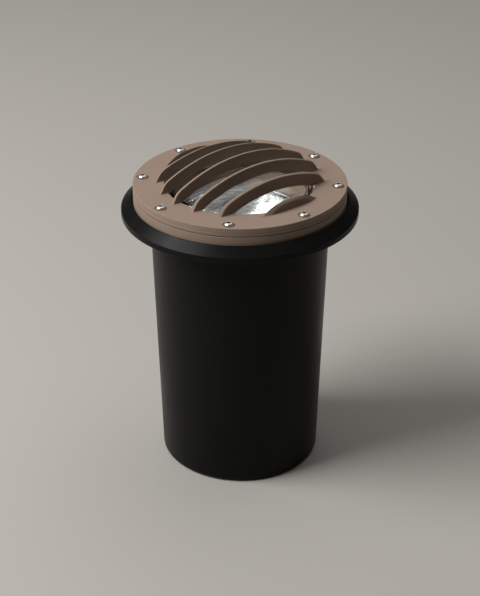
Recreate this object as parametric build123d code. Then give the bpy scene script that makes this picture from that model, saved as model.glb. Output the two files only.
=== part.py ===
from build123d import *
import math
import os

# In-ground well light: a sealed lamp head that stands loose in a black ground sleeve.
# Millimetres. +Z is up and the origin is the middle of the sleeve's standing face.
# The lamp tilts about X at rest, and the grille's fins run GRILLE_ANGLE from +X.

# ---------------------------------------------------------------- driving sizes

# PAR36 lamp and the parts around it, from the lamp outwards
LAMP_RADIUS = 55.5             # front rim of a PAR36 lamp
LAMP_RIM = 6.5                 # height of the rim, front glass and reflector lip together
LAMP_GLASS = 3.0               # front glass thickness
LAMP_GLASS_BULGE = 3.5         # how far the front glass stands out in the middle
REFLECTOR_DEPTH = 44.0
REFLECTOR_WALL = 2.2
REFLECTOR_BACK = 3.5           # wall along the lamp's axis, behind the bowl
LAMP_NECK_RADIUS = 14.0
LAMP_NECK = 7.0                # length of the neck behind the reflector
LAMP_FIT = 0.5                 # lamp rim to the ring around it
LAMP_DOME_GAP = 0.3            # edge of the front glass's dome to the ring's lip
RING_WALL = 1.2
RING_LIP = 3.2                 # how far the ring's front lip reaches over the lamp
RING_BELOW_AXIS = 9.0
RING_ABOVE_AXIS = 8.2
SPRING_WIRE = 1.8              # wire ring that holds the lamp against the lip
LUG_RADIUS = 4.5
LUG_LENGTH = 2.6
TILT_WASHER = 1.4
TILT_WASHER_RADIUS = 5.0
TILT_LIMIT = 15.0              # degrees each way
TILT_HEADROOM = 1.7            # least gap between the tilted ring and the lens gasket
TILT_SCREW_RADIUS = 2.0
TILT_HEAD_RADIUS = 4.0
TILT_HEAD = 2.4
PIVOT_CLEARANCE = 0.06         # radial, between each pivot screw and what turns on it

# Yoke and its pivot
YOKE_STOCK = 1.8
YOKE_WIDTH = 18.0
YOKE_BEND = 3.0                # inside bend radius
YOKE_SWING = 2.9               # least gap between the yoke and the canister wall
PIVOT_SCREW_RADIUS = 2.5
PIVOT_HEAD_RADIUS = 4.75
PIVOT_HEAD = 3.0
PIVOT_THREAD = 8.0             # length of pivot screw in the boss
PIVOT_BOSS_RADIUS = 7.5
PIVOT_BOSS = 7.0
FRICTION_WASHER = 0.8
SPRING_WASHER = 1.2
TURN_TAB = 2.8                 # width of the stop tab and of the stop lug
TURN_TAB_GAP = 2.4             # between the end of the tab and the canister floor
TURN_STOP_LAP = 2.4            # how far the lug reaches up past the end of the tab
STOP_LUG_DEPTH = 3.0

# Terminal block and leads
BLOCK_LENGTH = 24.0
BLOCK_WIDTH = 18.0
BLOCK_HEIGHT = 15.0
BLOCK_TO_ARM = 27.2            # middle of the block to the yoke's arm
BLOCK_POLES = 12.0             # spacing of its two poles
BLOCK_WIRE_HEIGHT = 7.5
BLOCK_HOLE_RADIUS = 1.6
CLAMP_SCREW_RADIUS = 1.5
CLAMP_HEAD_RADIUS = 2.4
CLAMP_HEAD = 1.6
CLAMP_RECESS_CLEARANCE = 0.5
LEAD_RADIUS = 1.2
LEAD_SEATED = 4.0              # length of lead inside the block
POST_SPACING = 20.0            # between the two terminal posts of the lamp
POST_RADIUS = 4.5
POST_LENGTH = 6.0
POST_THREAD = 4.8              # length of its screw in each post
POST_SCREW_RADIUS = 1.6
POST_HEAD_RADIUS = 3.2
POST_HEAD = 2.4
FORK_STOCK = 0.8
FORK_WIDTH = 7.0
FORK_REACH = 9.0               # terminal screw to the start of the crimped barrel
FORK_BARREL = 8.0
FORK_BARREL_RADIUS = 2.0
FORK_CLEARANCE = 0.15

# Leads from the lamp's terminals to the block
LEAD_OUT = 16.0                # straight run out of each terminal
LEAD_IN = 13.0                 # straight run into the block
LEAD_SWING = 22.0              # furthest run past the terminals
LEAD_SIDE = 6.0                # sideways, from the last bend to the block's hole
LEAD_LIFT = 10.0               # height of the bend over the block's hole
LEAD_APART = 6.0               # how much wider the second lead swings

# Lamp burner
BURNER_RADIUS = 5.0
BURNER_LENGTH = 24.0
BURNER_ROUND = 4.0
SHIELD_RADIUS = 8.0
SHIELD_LENGTH = 5.0
SHIELD_WALL = 0.6

# Canister, the lower part of the housing casting
CANISTER_WALL = 2.6
CANISTER_FLOOR = 3.5
CANISTER_DEPTH = 111.0         # below the ledge on which the head rests
CANISTER_CLEARANCE = 2.0       # radial, to the sleeve
CANISTER_ROUND = 6.0

# Ground sleeve
SLEEVE_HEIGHT = 234.5          # standing face to the underside of the flange
SLEEVE_DRAFT = 1.783           # degrees
SLEEVE_WALL = 3.0
SLEEVE_FLOOR = 3.5
SLEEVE_BASE_ROUND = 4.2
FLANGE_WEB = 4.5               # thickness of the ledge that carries the head
FLANGE_RIM = 5.5               # height of the flange's outer edge
LEDGE_WIDTH = 18.2
COLLAR_RISE = 7.2              # outer edge to the lip around the head
COLLAR_WIDTH = 9.2
LIP_FLAT = 0.9
FLANGE_EDGE_ROUND = 0.7
FLANGE_CORE_WALL = 2.6
FLANGE_CORE_RIBS = 24
FLANGE_CORE_RIB = 2.0
CABLE_OPENING_RADIUS = 38.0
DRAIN_HOLES = 6
DRAIN_HOLE_RADIUS = 4.0
DRAIN_CIRCLE_RADIUS = 51.0
DRAIN_ANGLE = -49.0            # degrees from +X to the first drain hole

# Housing flange, gaskets, glass and cover
HEAD_GAP = 1.3                 # radial, between the head and the sleeve's lip
HOUSING_FLANGE = 14.8          # ledge to the top of the housing
HOUSING_PLATE = 5.5
HOUSING_SKIRT = 3.2
HOUSING_NECK_WALL = 4.1        # around the glass seat
HOUSING_SEAT = 5.5             # width of the ledge under the glass
MOUTH_INSET = 3.9              # how far the ledge stands in from the canister's wall
SCREW_BOSS_RADIUS = 4.6
SCREW_BOSS_GAP = 1.5           # end of each boss above the sleeve's ledge
BODY_GASKET = 0.6
BODY_GASKET_SETBACK = 0.3
GLASS_RIM = 5.0
GLASS_THICKNESS = 5.0
GLASS_HELD = 5.8               # how far the cover reaches over the glass rim
CROWN_GAP = 1.8                # radial, between the glass dome and the cover
CROWN_EDGE_GAP = 1.0           # glass dome to the fins, at the dome's edge
CROWN_APEX_GAP = 5.8           # glass dome to the fins, in the middle
CROWN_ROUND = 2.5
CROWN_WALL = 5.4               # radial thickness of the glass dome's side
LENS_GASKET_WALL = 1.4
LENS_GASKET_TOP = 0.8
LENS_GASKET_BASE = 1.2
LENS_GASKET_FIT = 0.1
COVER_THICKNESS = 7.2
COVER_EDGE_ROUND = 1.2

# Grille on the cover
GRILLE_ANGLE = 38.8            # degrees from +X to the fins
FIN_COUNT = 7
FIN_SPREAD = 1.02              # outermost fin's distance from the middle, over the opening's radius
FIN_TOP = 2.0                  # thickness at the top of the dome
FIN_BASE = 2.6                 # thickness where a fin meets the cover
FIN_DEPTH = 10.0               # upper edge to lower edge
FIN_EDGE_ROUND = 0.6
DOME_RISE = 25.0               # top of the middle fin over the cover
DOME_EDGE_RISE = 9.7           # the same outline, over the edge of the opening
FOOT_LAP = 7.5                 # how far the feet of the fins reach out over the cover
FOOT_SLOPE = 60.0              # degrees, of the end of a fin
FOOT_ROUND = 14.0
FOOT_ROOT = 1.0                # depth of the fin's root in the cover

# Cover screws
COVER_SCREWS = 8
SCREW_EDGE = 7.6               # screw axis to the cover's outer edge
SCREW_RADIUS = 2.0
SCREW_HEAD_RADIUS = 4.1
SCREW_HEAD = 3.0
SCREW_HEAD_ROUND = 1.6
SCREW_SOCKET = 3.0             # across flats
SCREW_SOCKET_DEPTH = 1.5
SCREW_CLEARANCE = 0.25
SCREW_LENGTH = 16.0            # below the head
COUNTERBORE_CLEARANCE = 1.2
COUNTERBORE = 0.9

# Cable gland in the canister floor
GLAND_ANGLE = -49.0            # degrees from +X
GLAND_CIRCLE_RADIUS = 27.0     # it stands over the sleeve's cable opening
CABLE_RADIUS = 4.0
GLAND_SEAL_WALL = 2.2
GLAND_SEAL_LENGTH = 14.0
GLAND_NECK_WALL = 1.3
GLAND_BORE_CLEARANCE = 1.0     # radial, cable to the metal of the gland
GLAND_THREAD_RADIUS = 8.0
GLAND_THREAD_ABOVE = 5.0       # thread that stands above the canister floor
GLAND_HEX = 22.0               # across flats
GLAND_HEX_HEIGHT = 6.5
GLAND_NECK = 9.0
GLAND_NUT_WALL = 1.9
GLAND_NUT_FLATS = 21.0
GLAND_O_RING = 1.5
GLAND_O_RING_WIDTH = 2.4
LOCKNUT_FLATS = 22.0
LOCKNUT = 4.0

# ---------------------------------------------------------------- worked-out places

RING_INNER = LAMP_RADIUS + LAMP_FIT
RING_OUTER = RING_INNER + RING_WALL
LUG_END = RING_OUTER + LUG_LENGTH
ARM_INNER = LUG_END + TILT_WASHER
ARM_OUTER = ARM_INNER + YOKE_STOCK
YOKE_REACH = math.hypot(ARM_OUTER, YOKE_WIDTH / 2)

SEAT_Z = SLEEVE_HEIGHT + FLANGE_WEB
CANISTER_Z = SEAT_Z - CANISTER_DEPTH
FLOOR_Z = CANISTER_Z + CANISTER_FLOOR
DRAFT = math.tan(math.radians(SLEEVE_DRAFT))


def canister_inside(z):
    """Inside radius of the canister at height z, just clear of the turning yoke at its floor."""
    return YOKE_REACH + YOKE_SWING + (z - FLOOR_Z) * DRAFT


def canister_outside(z):
    return canister_inside(z) + CANISTER_WALL


def sleeve_inside(z):
    return canister_outside(z) + CANISTER_CLEARANCE


def sleeve_outside(z):
    return sleeve_inside(z) + SLEEVE_WALL


LIP_RADIUS = sleeve_inside(SEAT_Z) + LEDGE_WIDTH
FLANGE_RADIUS = LIP_RADIUS + COLLAR_WIDTH
RIM_TOP_Z = SLEEVE_HEIGHT + FLANGE_RIM
LIP_Z = RIM_TOP_Z + COLLAR_RISE

COVER_RADIUS = LIP_RADIUS - HEAD_GAP
HOUSING_TOP_Z = SEAT_Z + HOUSING_FLANGE
COVER_BASE_Z = HOUSING_TOP_Z + BODY_GASKET
COVER_TOP_Z = COVER_BASE_Z + COVER_THICKNESS
SCREW_CIRCLE_RADIUS = COVER_RADIUS - SCREW_EDGE

MOUTH_RADIUS = canister_inside(SEAT_Z) - MOUTH_INSET
GLASS_SEAT_RADIUS = MOUTH_RADIUS + HOUSING_SEAT
LENS_GASKET_RADIUS = GLASS_SEAT_RADIUS - LENS_GASKET_FIT
GLASS_RADIUS = LENS_GASKET_RADIUS - LENS_GASKET_WALL
OPENING_RADIUS = GLASS_RADIUS - GLASS_HELD
GLASS_TOP_Z = COVER_BASE_Z - LENS_GASKET_TOP
GLASS_BASE_Z = GLASS_TOP_Z - GLASS_RIM
GLASS_SEAT_Z = GLASS_BASE_Z - LENS_GASKET_BASE
CROWN_RADIUS = OPENING_RADIUS - CROWN_GAP
CAVITY_RADIUS = CROWN_RADIUS - CROWN_WALL

DOME_DROP = DOME_RISE - DOME_EDGE_RISE
DOME_RADIUS = (OPENING_RADIUS**2 + DOME_DROP**2) / (2 * DOME_DROP)
DOME_CENTRE_Z = COVER_TOP_Z + DOME_RISE - DOME_RADIUS
FOOT_RADIUS = OPENING_RADIUS + FOOT_LAP
FIN_PITCH = 2 * FIN_SPREAD * OPENING_RADIUS / (FIN_COUNT - 1)

TILT_ANGLE = math.radians(TILT_LIMIT)
RING_SWING = RING_OUTER * math.sin(TILT_ANGLE) + RING_ABOVE_AXIS * math.cos(TILT_ANGLE)
TILT_Z = GLASS_SEAT_Z - TILT_HEADROOM - RING_SWING
LAMP_FRONT_Z = TILT_Z + RING_ABOVE_AXIS - RING_WALL
LAMP_BACK_Z = LAMP_FRONT_Z - LAMP_RIM
REFLECTOR_MOUTH = LAMP_RADIUS - REFLECTOR_WALL
REFLECTOR_Z = LAMP_FRONT_Z - LAMP_GLASS - REFLECTOR_DEPTH
FOCUS = REFLECTOR_MOUTH**2 / (4 * REFLECTOR_DEPTH)
NECK_Z = REFLECTOR_Z - LAMP_NECK
POST_Z = NECK_Z - POST_LENGTH
FORK_Z = POST_Z - FORK_STOCK

WASHER_Z = FLOOR_Z + PIVOT_BOSS
YOKE_Z = WASHER_Z + FRICTION_WASHER
YOKE_TOP_Z = YOKE_Z + YOKE_STOCK
PIVOT_HEAD_Z = YOKE_TOP_Z + SPRING_WASHER
TAB_Z = FLOOR_Z + TURN_TAB_GAP
BLOCK_TOP_Z = YOKE_TOP_Z + BLOCK_HEIGHT
WIRE_Z = YOKE_TOP_Z + BLOCK_WIRE_HEIGHT
BLOCK_CENTRE = ARM_INNER - BLOCK_TO_ARM

O_RING_Z = CANISTER_Z - GLAND_O_RING
HEX_Z = O_RING_Z - GLAND_HEX_HEIGHT
NECK_END_Z = HEX_Z - GLAND_NECK
SEAL_RADIUS = CABLE_RADIUS + GLAND_SEAL_WALL
NECK_RADIUS = SEAL_RADIUS + GLAND_NECK_WALL
GLAND_BORE_RADIUS = CABLE_RADIUS + GLAND_BORE_CLEARANCE


# ---------------------------------------------------------------- shared operations

def turned(outline, rounds=()):
    """Revolve a closed outline of (radius, height) points; rounds gives (point, fillet radius)."""
    with BuildPart() as body:
        with BuildSketch(Plane.XZ) as section:
            with BuildLine():
                Polyline(*outline, close=True)
            make_face()
            for point, radius in rounds:
                fillet(section.vertices().sort_by_distance((*point, 0))[0], radius)
        revolve(axis=Axis.Z)
    return body.part


def tube(outer, inner, z, height):
    """Ring standing on height z."""
    return turned([(inner, z), (outer, z), (outer, z + height), (inner, z + height)])


def disc(radius, z, height):
    return Pos(0, 0, z + height / 2) * Cylinder(radius, height)


def hexagon(flats, z, height):
    return Pos(0, 0, z) * extrude(RegularPolygon(flats / 2, 6, major_radius=False), height)


def around(shape, radius, count, start=GRILLE_ANGLE):
    """Copies of shape on a circle about Z."""
    return [place * shape for place in PolarLocations(radius, count, start)]


def dome_z(radius, depth=0.0):
    """Height of the grille's domed outline at a radius, or of the same outline set in by depth."""
    return DOME_CENTRE_Z + math.sqrt((DOME_RADIUS - depth) ** 2 - radius**2)


# ---------------------------------------------------------------- ground sleeve

def ground_sleeve():
    """Tapered cup with a ledge for the head, a sloping collar and a flange cored from below."""
    slope = COLLAR_RISE / (COLLAR_WIDTH - LIP_FLAT)
    outline = [
        (0, 0),
        (sleeve_outside(0), 0),
        (sleeve_outside(SLEEVE_HEIGHT), SLEEVE_HEIGHT),
        (FLANGE_RADIUS, SLEEVE_HEIGHT),
        (FLANGE_RADIUS, RIM_TOP_Z),
        (LIP_RADIUS + LIP_FLAT, LIP_Z),
        (LIP_RADIUS, LIP_Z),
        (LIP_RADIUS, SEAT_Z),
        (sleeve_inside(SEAT_Z), SEAT_Z),
        (sleeve_inside(SLEEVE_FLOOR), SLEEVE_FLOOR),
        (0, SLEEVE_FLOOR),
    ]
    rounds = [
        (outline[1], SLEEVE_BASE_ROUND),
        (outline[3], FLANGE_EDGE_ROUND),
        (outline[4], FLANGE_EDGE_ROUND),
        (outline[9], SLEEVE_BASE_ROUND - SLEEVE_WALL / 2),
    ]
    sleeve = turned(outline, rounds)

    core_inner = LIP_RADIUS + LIP_FLAT
    core_outer = FLANGE_RADIUS - FLANGE_CORE_WALL
    core = turned([
        (core_inner, SLEEVE_HEIGHT - 1),
        (core_outer, SLEEVE_HEIGHT - 1),
        (core_outer, LIP_Z - FLANGE_CORE_WALL - (core_outer - core_inner) * slope),
        (core_inner, LIP_Z - FLANGE_CORE_WALL),
    ])
    ribs = around(Box(3 * COLLAR_WIDTH, FLANGE_CORE_RIB, 6 * COLLAR_RISE),
                  FLANGE_RADIUS, FLANGE_CORE_RIBS, 0)
    for rib in ribs:
        core -= Pos(0, 0, SLEEVE_HEIGHT) * rib
    sleeve -= core
    sleeve -= disc(CABLE_OPENING_RADIUS, -1, SLEEVE_FLOOR + 2)
    for hole in around(disc(DRAIN_HOLE_RADIUS, -1, SLEEVE_FLOOR + 2),
                       DRAIN_CIRCLE_RADIUS, DRAIN_HOLES, DRAIN_ANGLE):
        sleeve -= hole
    return sleeve


# ---------------------------------------------------------------- housing and cover

def lamp_housing():
    """Canister with a flange: glass seat inside, skirt and eight tapped bosses underneath."""
    neck_outside = GLASS_SEAT_RADIUS + HOUSING_NECK_WALL
    plate_z = HOUSING_TOP_Z - HOUSING_PLATE
    neck_z = GLASS_SEAT_Z - (canister_inside(SEAT_Z) - MOUTH_RADIUS)
    outline = [
        (0, CANISTER_Z),
        (canister_outside(CANISTER_Z), CANISTER_Z),
        (canister_outside(SEAT_Z), SEAT_Z),
        (neck_outside, SEAT_Z + neck_outside - canister_outside(SEAT_Z)),
        (neck_outside, plate_z),
        (COVER_RADIUS - HOUSING_SKIRT, plate_z),
        (COVER_RADIUS - HOUSING_SKIRT, SEAT_Z),
        (COVER_RADIUS, SEAT_Z),
        (COVER_RADIUS, HOUSING_TOP_Z),
        (GLASS_SEAT_RADIUS, HOUSING_TOP_Z),
        (GLASS_SEAT_RADIUS, GLASS_SEAT_Z),
        (MOUTH_RADIUS, GLASS_SEAT_Z),
        (MOUTH_RADIUS, GLASS_SEAT_Z - HOUSING_NECK_WALL / 2),
        (canister_inside(neck_z), neck_z - HOUSING_NECK_WALL / 2),
        (canister_inside(FLOOR_Z), FLOOR_Z),
        (0, FLOOR_Z),
    ]
    rounds = [
        (outline[1], CANISTER_ROUND),
        (outline[14], CANISTER_ROUND - CANISTER_WALL),
    ]
    housing = turned(outline, rounds)
    boss_z = SEAT_Z + SCREW_BOSS_GAP
    screw_end_z = COVER_TOP_Z - COUNTERBORE - SCREW_LENGTH
    for boss in around(disc(SCREW_BOSS_RADIUS, boss_z, plate_z - boss_z + 1),
                       SCREW_CIRCLE_RADIUS, COVER_SCREWS):
        housing += boss
    for bore in around(disc(SCREW_RADIUS, screw_end_z, HOUSING_TOP_Z - screw_end_z + 1),
                       SCREW_CIRCLE_RADIUS, COVER_SCREWS):
        housing -= bore
    housing += disc(PIVOT_BOSS_RADIUS, FLOOR_Z - 1, PIVOT_BOSS + 1)
    housing -= disc(PIVOT_SCREW_RADIUS, WASHER_Z - PIVOT_THREAD, PIVOT_THREAD + 1)
    lug_height = TURN_TAB_GAP + TURN_STOP_LAP
    lug_y = YOKE_WIDTH / 2 + STOP_LUG_DEPTH / 2
    housing += Pos(0, lug_y, FLOOR_Z + lug_height / 2 - 0.5) * Box(
        TURN_TAB, STOP_LUG_DEPTH, lug_height + 1)
    housing -= at_gland(disc(GLAND_THREAD_RADIUS, CANISTER_Z - 1, CANISTER_FLOOR + 2))
    return housing


def body_gasket():
    """Flat ring between the housing and the cover, with clearance holes for the screws."""
    gasket = tube(COVER_RADIUS - BODY_GASKET_SETBACK, GLASS_SEAT_RADIUS, HOUSING_TOP_Z,
                  BODY_GASKET)
    for hole in around(disc(SCREW_RADIUS + SCREW_CLEARANCE, HOUSING_TOP_Z - 1, BODY_GASKET + 2),
                       SCREW_CIRCLE_RADIUS, COVER_SCREWS):
        gasket -= hole
    return gasket


def lens_gasket():
    """U-section ring that wraps the rim of the glass."""
    lap = GLASS_RADIUS - OPENING_RADIUS - LENS_GASKET_TOP
    return turned([
        (MOUTH_RADIUS, GLASS_SEAT_Z),
        (LENS_GASKET_RADIUS, GLASS_SEAT_Z),
        (LENS_GASKET_RADIUS, COVER_BASE_Z),
        (GLASS_RADIUS - lap, COVER_BASE_Z),
        (GLASS_RADIUS - lap, GLASS_TOP_Z),
        (GLASS_RADIUS, GLASS_TOP_Z),
        (GLASS_RADIUS, GLASS_BASE_Z),
        (MOUTH_RADIUS, GLASS_BASE_Z),
    ])


def lens_glass():
    """Flat rim with a hollow dome that stands up through the cover's opening."""
    apex_z = dome_z(0, FIN_DEPTH) - CROWN_APEX_GAP
    edge_z = dome_z(CROWN_RADIUS, FIN_DEPTH) - CROWN_EDGE_GAP
    drop = apex_z - edge_z
    crown = (CROWN_RADIUS**2 + drop**2) / (2 * drop)

    def crown_point(radius, inset=0.0):
        return (radius, apex_z - crown + math.sqrt((crown - inset) ** 2 - radius**2))

    with BuildPart() as glass:
        with BuildSketch(Plane.XZ) as section:
            with BuildLine():
                RadiusArc(crown_point(0), crown_point(CROWN_RADIUS), crown)
                Polyline(
                    crown_point(CROWN_RADIUS),
                    (CROWN_RADIUS, GLASS_TOP_Z),
                    (GLASS_RADIUS, GLASS_TOP_Z),
                    (GLASS_RADIUS, GLASS_BASE_Z),
                    (CAVITY_RADIUS, GLASS_BASE_Z),
                    crown_point(CAVITY_RADIUS, GLASS_THICKNESS),
                )
                RadiusArc(crown_point(CAVITY_RADIUS, GLASS_THICKNESS),
                          crown_point(0, GLASS_THICKNESS), GLASS_THICKNESS - crown)
                Line(crown_point(0, GLASS_THICKNESS), crown_point(0))
            make_face()
            shoulder = section.vertices().sort_by_distance((*crown_point(CROWN_RADIUS), 0))[0]
            fillet(shoulder, CROWN_ROUND)
        revolve(axis=Axis.Z)
    return glass.part


def fin_envelope():
    """Shell between the fins' upper and lower domed outlines, with feet that slope to the cover."""
    slope = math.tan(math.radians(FOOT_SLOPE))
    # The sloping end starts where its line meets the dome, found by bisection.
    low, high = OPENING_RADIUS - FOOT_LAP, FOOT_RADIUS
    for _ in range(40):
        middle = (low + high) / 2
        if dome_z(middle) - COVER_TOP_Z < (FOOT_RADIUS - middle) * slope:
            low = middle
        else:
            high = middle
    knee = (low, dome_z(low))
    inner = DOME_RADIUS - FIN_DEPTH
    inner_foot = math.sqrt(inner**2 - (COVER_TOP_Z - DOME_CENTRE_Z) ** 2)
    root_z = COVER_TOP_Z - FOOT_ROOT
    with BuildPart() as shell:
        with BuildSketch(Plane.XZ) as section:
            with BuildLine():
                RadiusArc((0, dome_z(0)), knee, DOME_RADIUS)
                Polyline(
                    knee,
                    (FOOT_RADIUS, COVER_TOP_Z),
                    (FOOT_RADIUS, root_z),
                    (OPENING_RADIUS, root_z),
                    (OPENING_RADIUS, COVER_TOP_Z),
                    (inner_foot, COVER_TOP_Z),
                )
                RadiusArc((inner_foot, COVER_TOP_Z), (0, dome_z(0, FIN_DEPTH)), -inner)
                Line((0, dome_z(0, FIN_DEPTH)), (0, dome_z(0)))
            make_face()
            fillet(section.vertices().sort_by_distance((*knee, 0))[0], FOOT_ROUND)
        revolve(axis=Axis.Z)
    return shell.part


def fin_blank():
    """Bar along X whose section narrows upwards, the draft of a cast fin."""
    half_base, half_top = FIN_BASE / 2, FIN_TOP / 2
    taper = (half_base - half_top) / DOME_RISE
    low_z, high_z = COVER_TOP_Z - 2 * FOOT_ROOT, COVER_TOP_Z + DOME_RISE + 1
    half_low = half_base + 2 * FOOT_ROOT * taper
    half_high = half_top - taper
    with BuildPart() as bar:
        with BuildSketch(Plane.YZ):
            with BuildLine():
                Polyline((-half_low, low_z), (half_low, low_z), (half_high, high_z),
                         (-half_high, high_z), close=True)
            make_face()
        extrude(amount=FOOT_RADIUS + 1, both=True)
    return bar.part


def grille_cover():
    """Cast cover ring and its arched fins, all slices of one dome."""
    cover = turned(
        [
            (OPENING_RADIUS, COVER_BASE_Z),
            (COVER_RADIUS, COVER_BASE_Z),
            (COVER_RADIUS, COVER_TOP_Z),
            (OPENING_RADIUS, COVER_TOP_Z),
        ],
        [((COVER_RADIUS, COVER_TOP_Z), COVER_EDGE_ROUND)],
    )
    head_seat_z = COVER_TOP_Z - COUNTERBORE
    for hole in around(disc(SCREW_RADIUS + SCREW_CLEARANCE, COVER_BASE_Z - 1,
                            COVER_THICKNESS + 2), SCREW_CIRCLE_RADIUS, COVER_SCREWS):
        cover -= hole
    for seat in around(disc(SCREW_HEAD_RADIUS + COUNTERBORE_CLEARANCE, head_seat_z,
                            COUNTERBORE + 1), SCREW_CIRCLE_RADIUS, COVER_SCREWS):
        cover -= seat
    envelope, blank = fin_envelope(), fin_blank()
    for number in range(FIN_COUNT):
        offset = (number - (FIN_COUNT - 1) / 2) * FIN_PITCH
        fin = envelope & Pos(0, offset, 0) * blank
        crest = fin.faces().filter_by(
            lambda face: face.normal_at().Z > 0.2 and face.center().Z > COVER_TOP_Z)
        sides = crest.edges().filter_by(
            lambda edge: abs(edge.position_at(0.5).Y - offset) > FIN_TOP / 3)
        fin = fillet(sides, FIN_EDGE_ROUND)
        cover += Rot(0, 0, GRILLE_ANGLE) * fin
    return cover


def cover_screws():
    """Pan-head socket screws, one in each counterbore."""
    head_z = COVER_TOP_Z - COUNTERBORE
    screw = turned(
        [
            (0, head_z - SCREW_LENGTH),
            (SCREW_RADIUS, head_z - SCREW_LENGTH),
            (SCREW_RADIUS, head_z),
            (SCREW_HEAD_RADIUS, head_z),
            (SCREW_HEAD_RADIUS, head_z + SCREW_HEAD),
            (0, head_z + SCREW_HEAD),
        ],
        [((SCREW_HEAD_RADIUS, head_z + SCREW_HEAD), SCREW_HEAD_ROUND)],
    )
    screw -= hexagon(SCREW_SOCKET, head_z + SCREW_HEAD - SCREW_SOCKET_DEPTH, SCREW_SOCKET_DEPTH + 1)
    return Compound(children=around(screw, SCREW_CIRCLE_RADIUS, COVER_SCREWS))


# ---------------------------------------------------------------- cable gland

def at_gland(shape):
    return Rot(0, 0, GLAND_ANGLE) * Pos(GLAND_CIRCLE_RADIUS, 0, 0) * shape


def gland_body():
    """Hexagon with a thread up through the canister floor and a neck that holds the seal."""
    body = hexagon(GLAND_HEX, HEX_Z, GLAND_HEX_HEIGHT)
    thread_top_z = FLOOR_Z + GLAND_THREAD_ABOVE
    body += disc(GLAND_THREAD_RADIUS, HEX_Z, thread_top_z - HEX_Z)
    body += disc(NECK_RADIUS, NECK_END_Z, GLAND_NECK)
    body -= disc(SEAL_RADIUS, NECK_END_Z - 1, GLAND_NECK + 1)
    body -= disc(GLAND_BORE_RADIUS, NECK_END_Z, thread_top_z - NECK_END_Z + 1)
    return at_gland(body)


def gland_seal():
    """Rubber bush that the nut squeezes on the cable."""
    return at_gland(tube(SEAL_RADIUS, CABLE_RADIUS, HEX_Z - GLAND_SEAL_LENGTH, GLAND_SEAL_LENGTH))


def gland_nut():
    """Cap nut over the neck, rounded at its lower end."""
    top_z = NECK_END_Z + GLAND_NECK / 2
    base_z = HEX_Z - GLAND_SEAL_LENGTH - GLAND_NUT_WALL
    nut = hexagon(GLAND_NUT_FLATS, base_z, top_z - base_z)
    corner = GLAND_NUT_FLATS / math.sqrt(3)
    nut &= turned(
        [(0, base_z), (corner, base_z), (corner, top_z), (0, top_z)],
        [((corner, base_z), GLAND_NUT_FLATS / 4)],
    )
    nut -= disc(NECK_RADIUS, NECK_END_Z, GLAND_NECK)
    nut -= disc(SEAL_RADIUS, base_z + GLAND_NUT_WALL, GLAND_NECK)
    nut -= disc(GLAND_BORE_RADIUS, base_z - 1, GLAND_NUT_WALL + 2)
    return at_gland(nut)


def gland_o_ring():
    return at_gland(tube(GLAND_THREAD_RADIUS + GLAND_O_RING_WIDTH, GLAND_THREAD_RADIUS, O_RING_Z,
                         GLAND_O_RING))


def gland_locknut():
    nut = hexagon(LOCKNUT_FLATS, FLOOR_Z, LOCKNUT)
    return at_gland(nut - disc(GLAND_THREAD_RADIUS, FLOOR_Z - 1, LOCKNUT + 2))


# ---------------------------------------------------------------- yoke and terminal block

def lamp_yoke():
    """Bent strip: base on the canister's boss, two round-ended arms and a stop tab turned down."""
    arm_top_z = TILT_Z + YOKE_WIDTH / 2
    with BuildPart() as strip:
        with BuildSketch(Plane.XZ) as section:
            with BuildLine():
                Polyline(
                    (-ARM_OUTER, arm_top_z), (-ARM_OUTER, YOKE_Z), (ARM_OUTER, YOKE_Z),
                    (ARM_OUTER, arm_top_z), (ARM_INNER, arm_top_z), (ARM_INNER, YOKE_TOP_Z),
                    (-ARM_INNER, YOKE_TOP_Z), (-ARM_INNER, arm_top_z), close=True)
            make_face()
            for side in (-1, 1):
                inside = section.vertices().sort_by_distance((side * ARM_INNER, YOKE_TOP_Z, 0))[0]
                fillet(inside, YOKE_BEND)
                outside = section.vertices().sort_by_distance((side * ARM_OUTER, YOKE_Z, 0))[0]
                fillet(outside, YOKE_BEND + YOKE_STOCK)
        extrude(amount=YOKE_WIDTH / 2, both=True)
    yoke = strip.part
    end_cut = Box(3 * ARM_OUTER, YOKE_WIDTH + 2, YOKE_WIDTH)
    end_cut = Pos(0, 0, TILT_Z + YOKE_WIDTH / 2) * end_cut
    end_cut -= Pos(0, 0, TILT_Z) * Rot(0, 90, 0) * Cylinder(YOKE_WIDTH / 2, 4 * ARM_OUTER)
    yoke -= end_cut
    yoke -= Pos(0, 0, TILT_Z) * Rot(0, 90, 0) * Cylinder(TILT_SCREW_RADIUS, 3 * ARM_OUTER)
    yoke -= disc(PIVOT_SCREW_RADIUS + PIVOT_CLEARANCE, YOKE_Z - 1, YOKE_STOCK + 2)
    yoke -= Pos(BLOCK_CENTRE, 0, 0) * disc(CLAMP_SCREW_RADIUS, YOKE_Z - 1, YOKE_STOCK + 2)
    tab_y = -YOKE_WIDTH / 2 - YOKE_STOCK / 2
    tab_height = YOKE_TOP_Z - TAB_Z
    yoke += Pos(0, tab_y, TAB_Z + tab_height / 2) * Box(TURN_TAB, YOKE_STOCK, tab_height)
    return yoke


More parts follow.
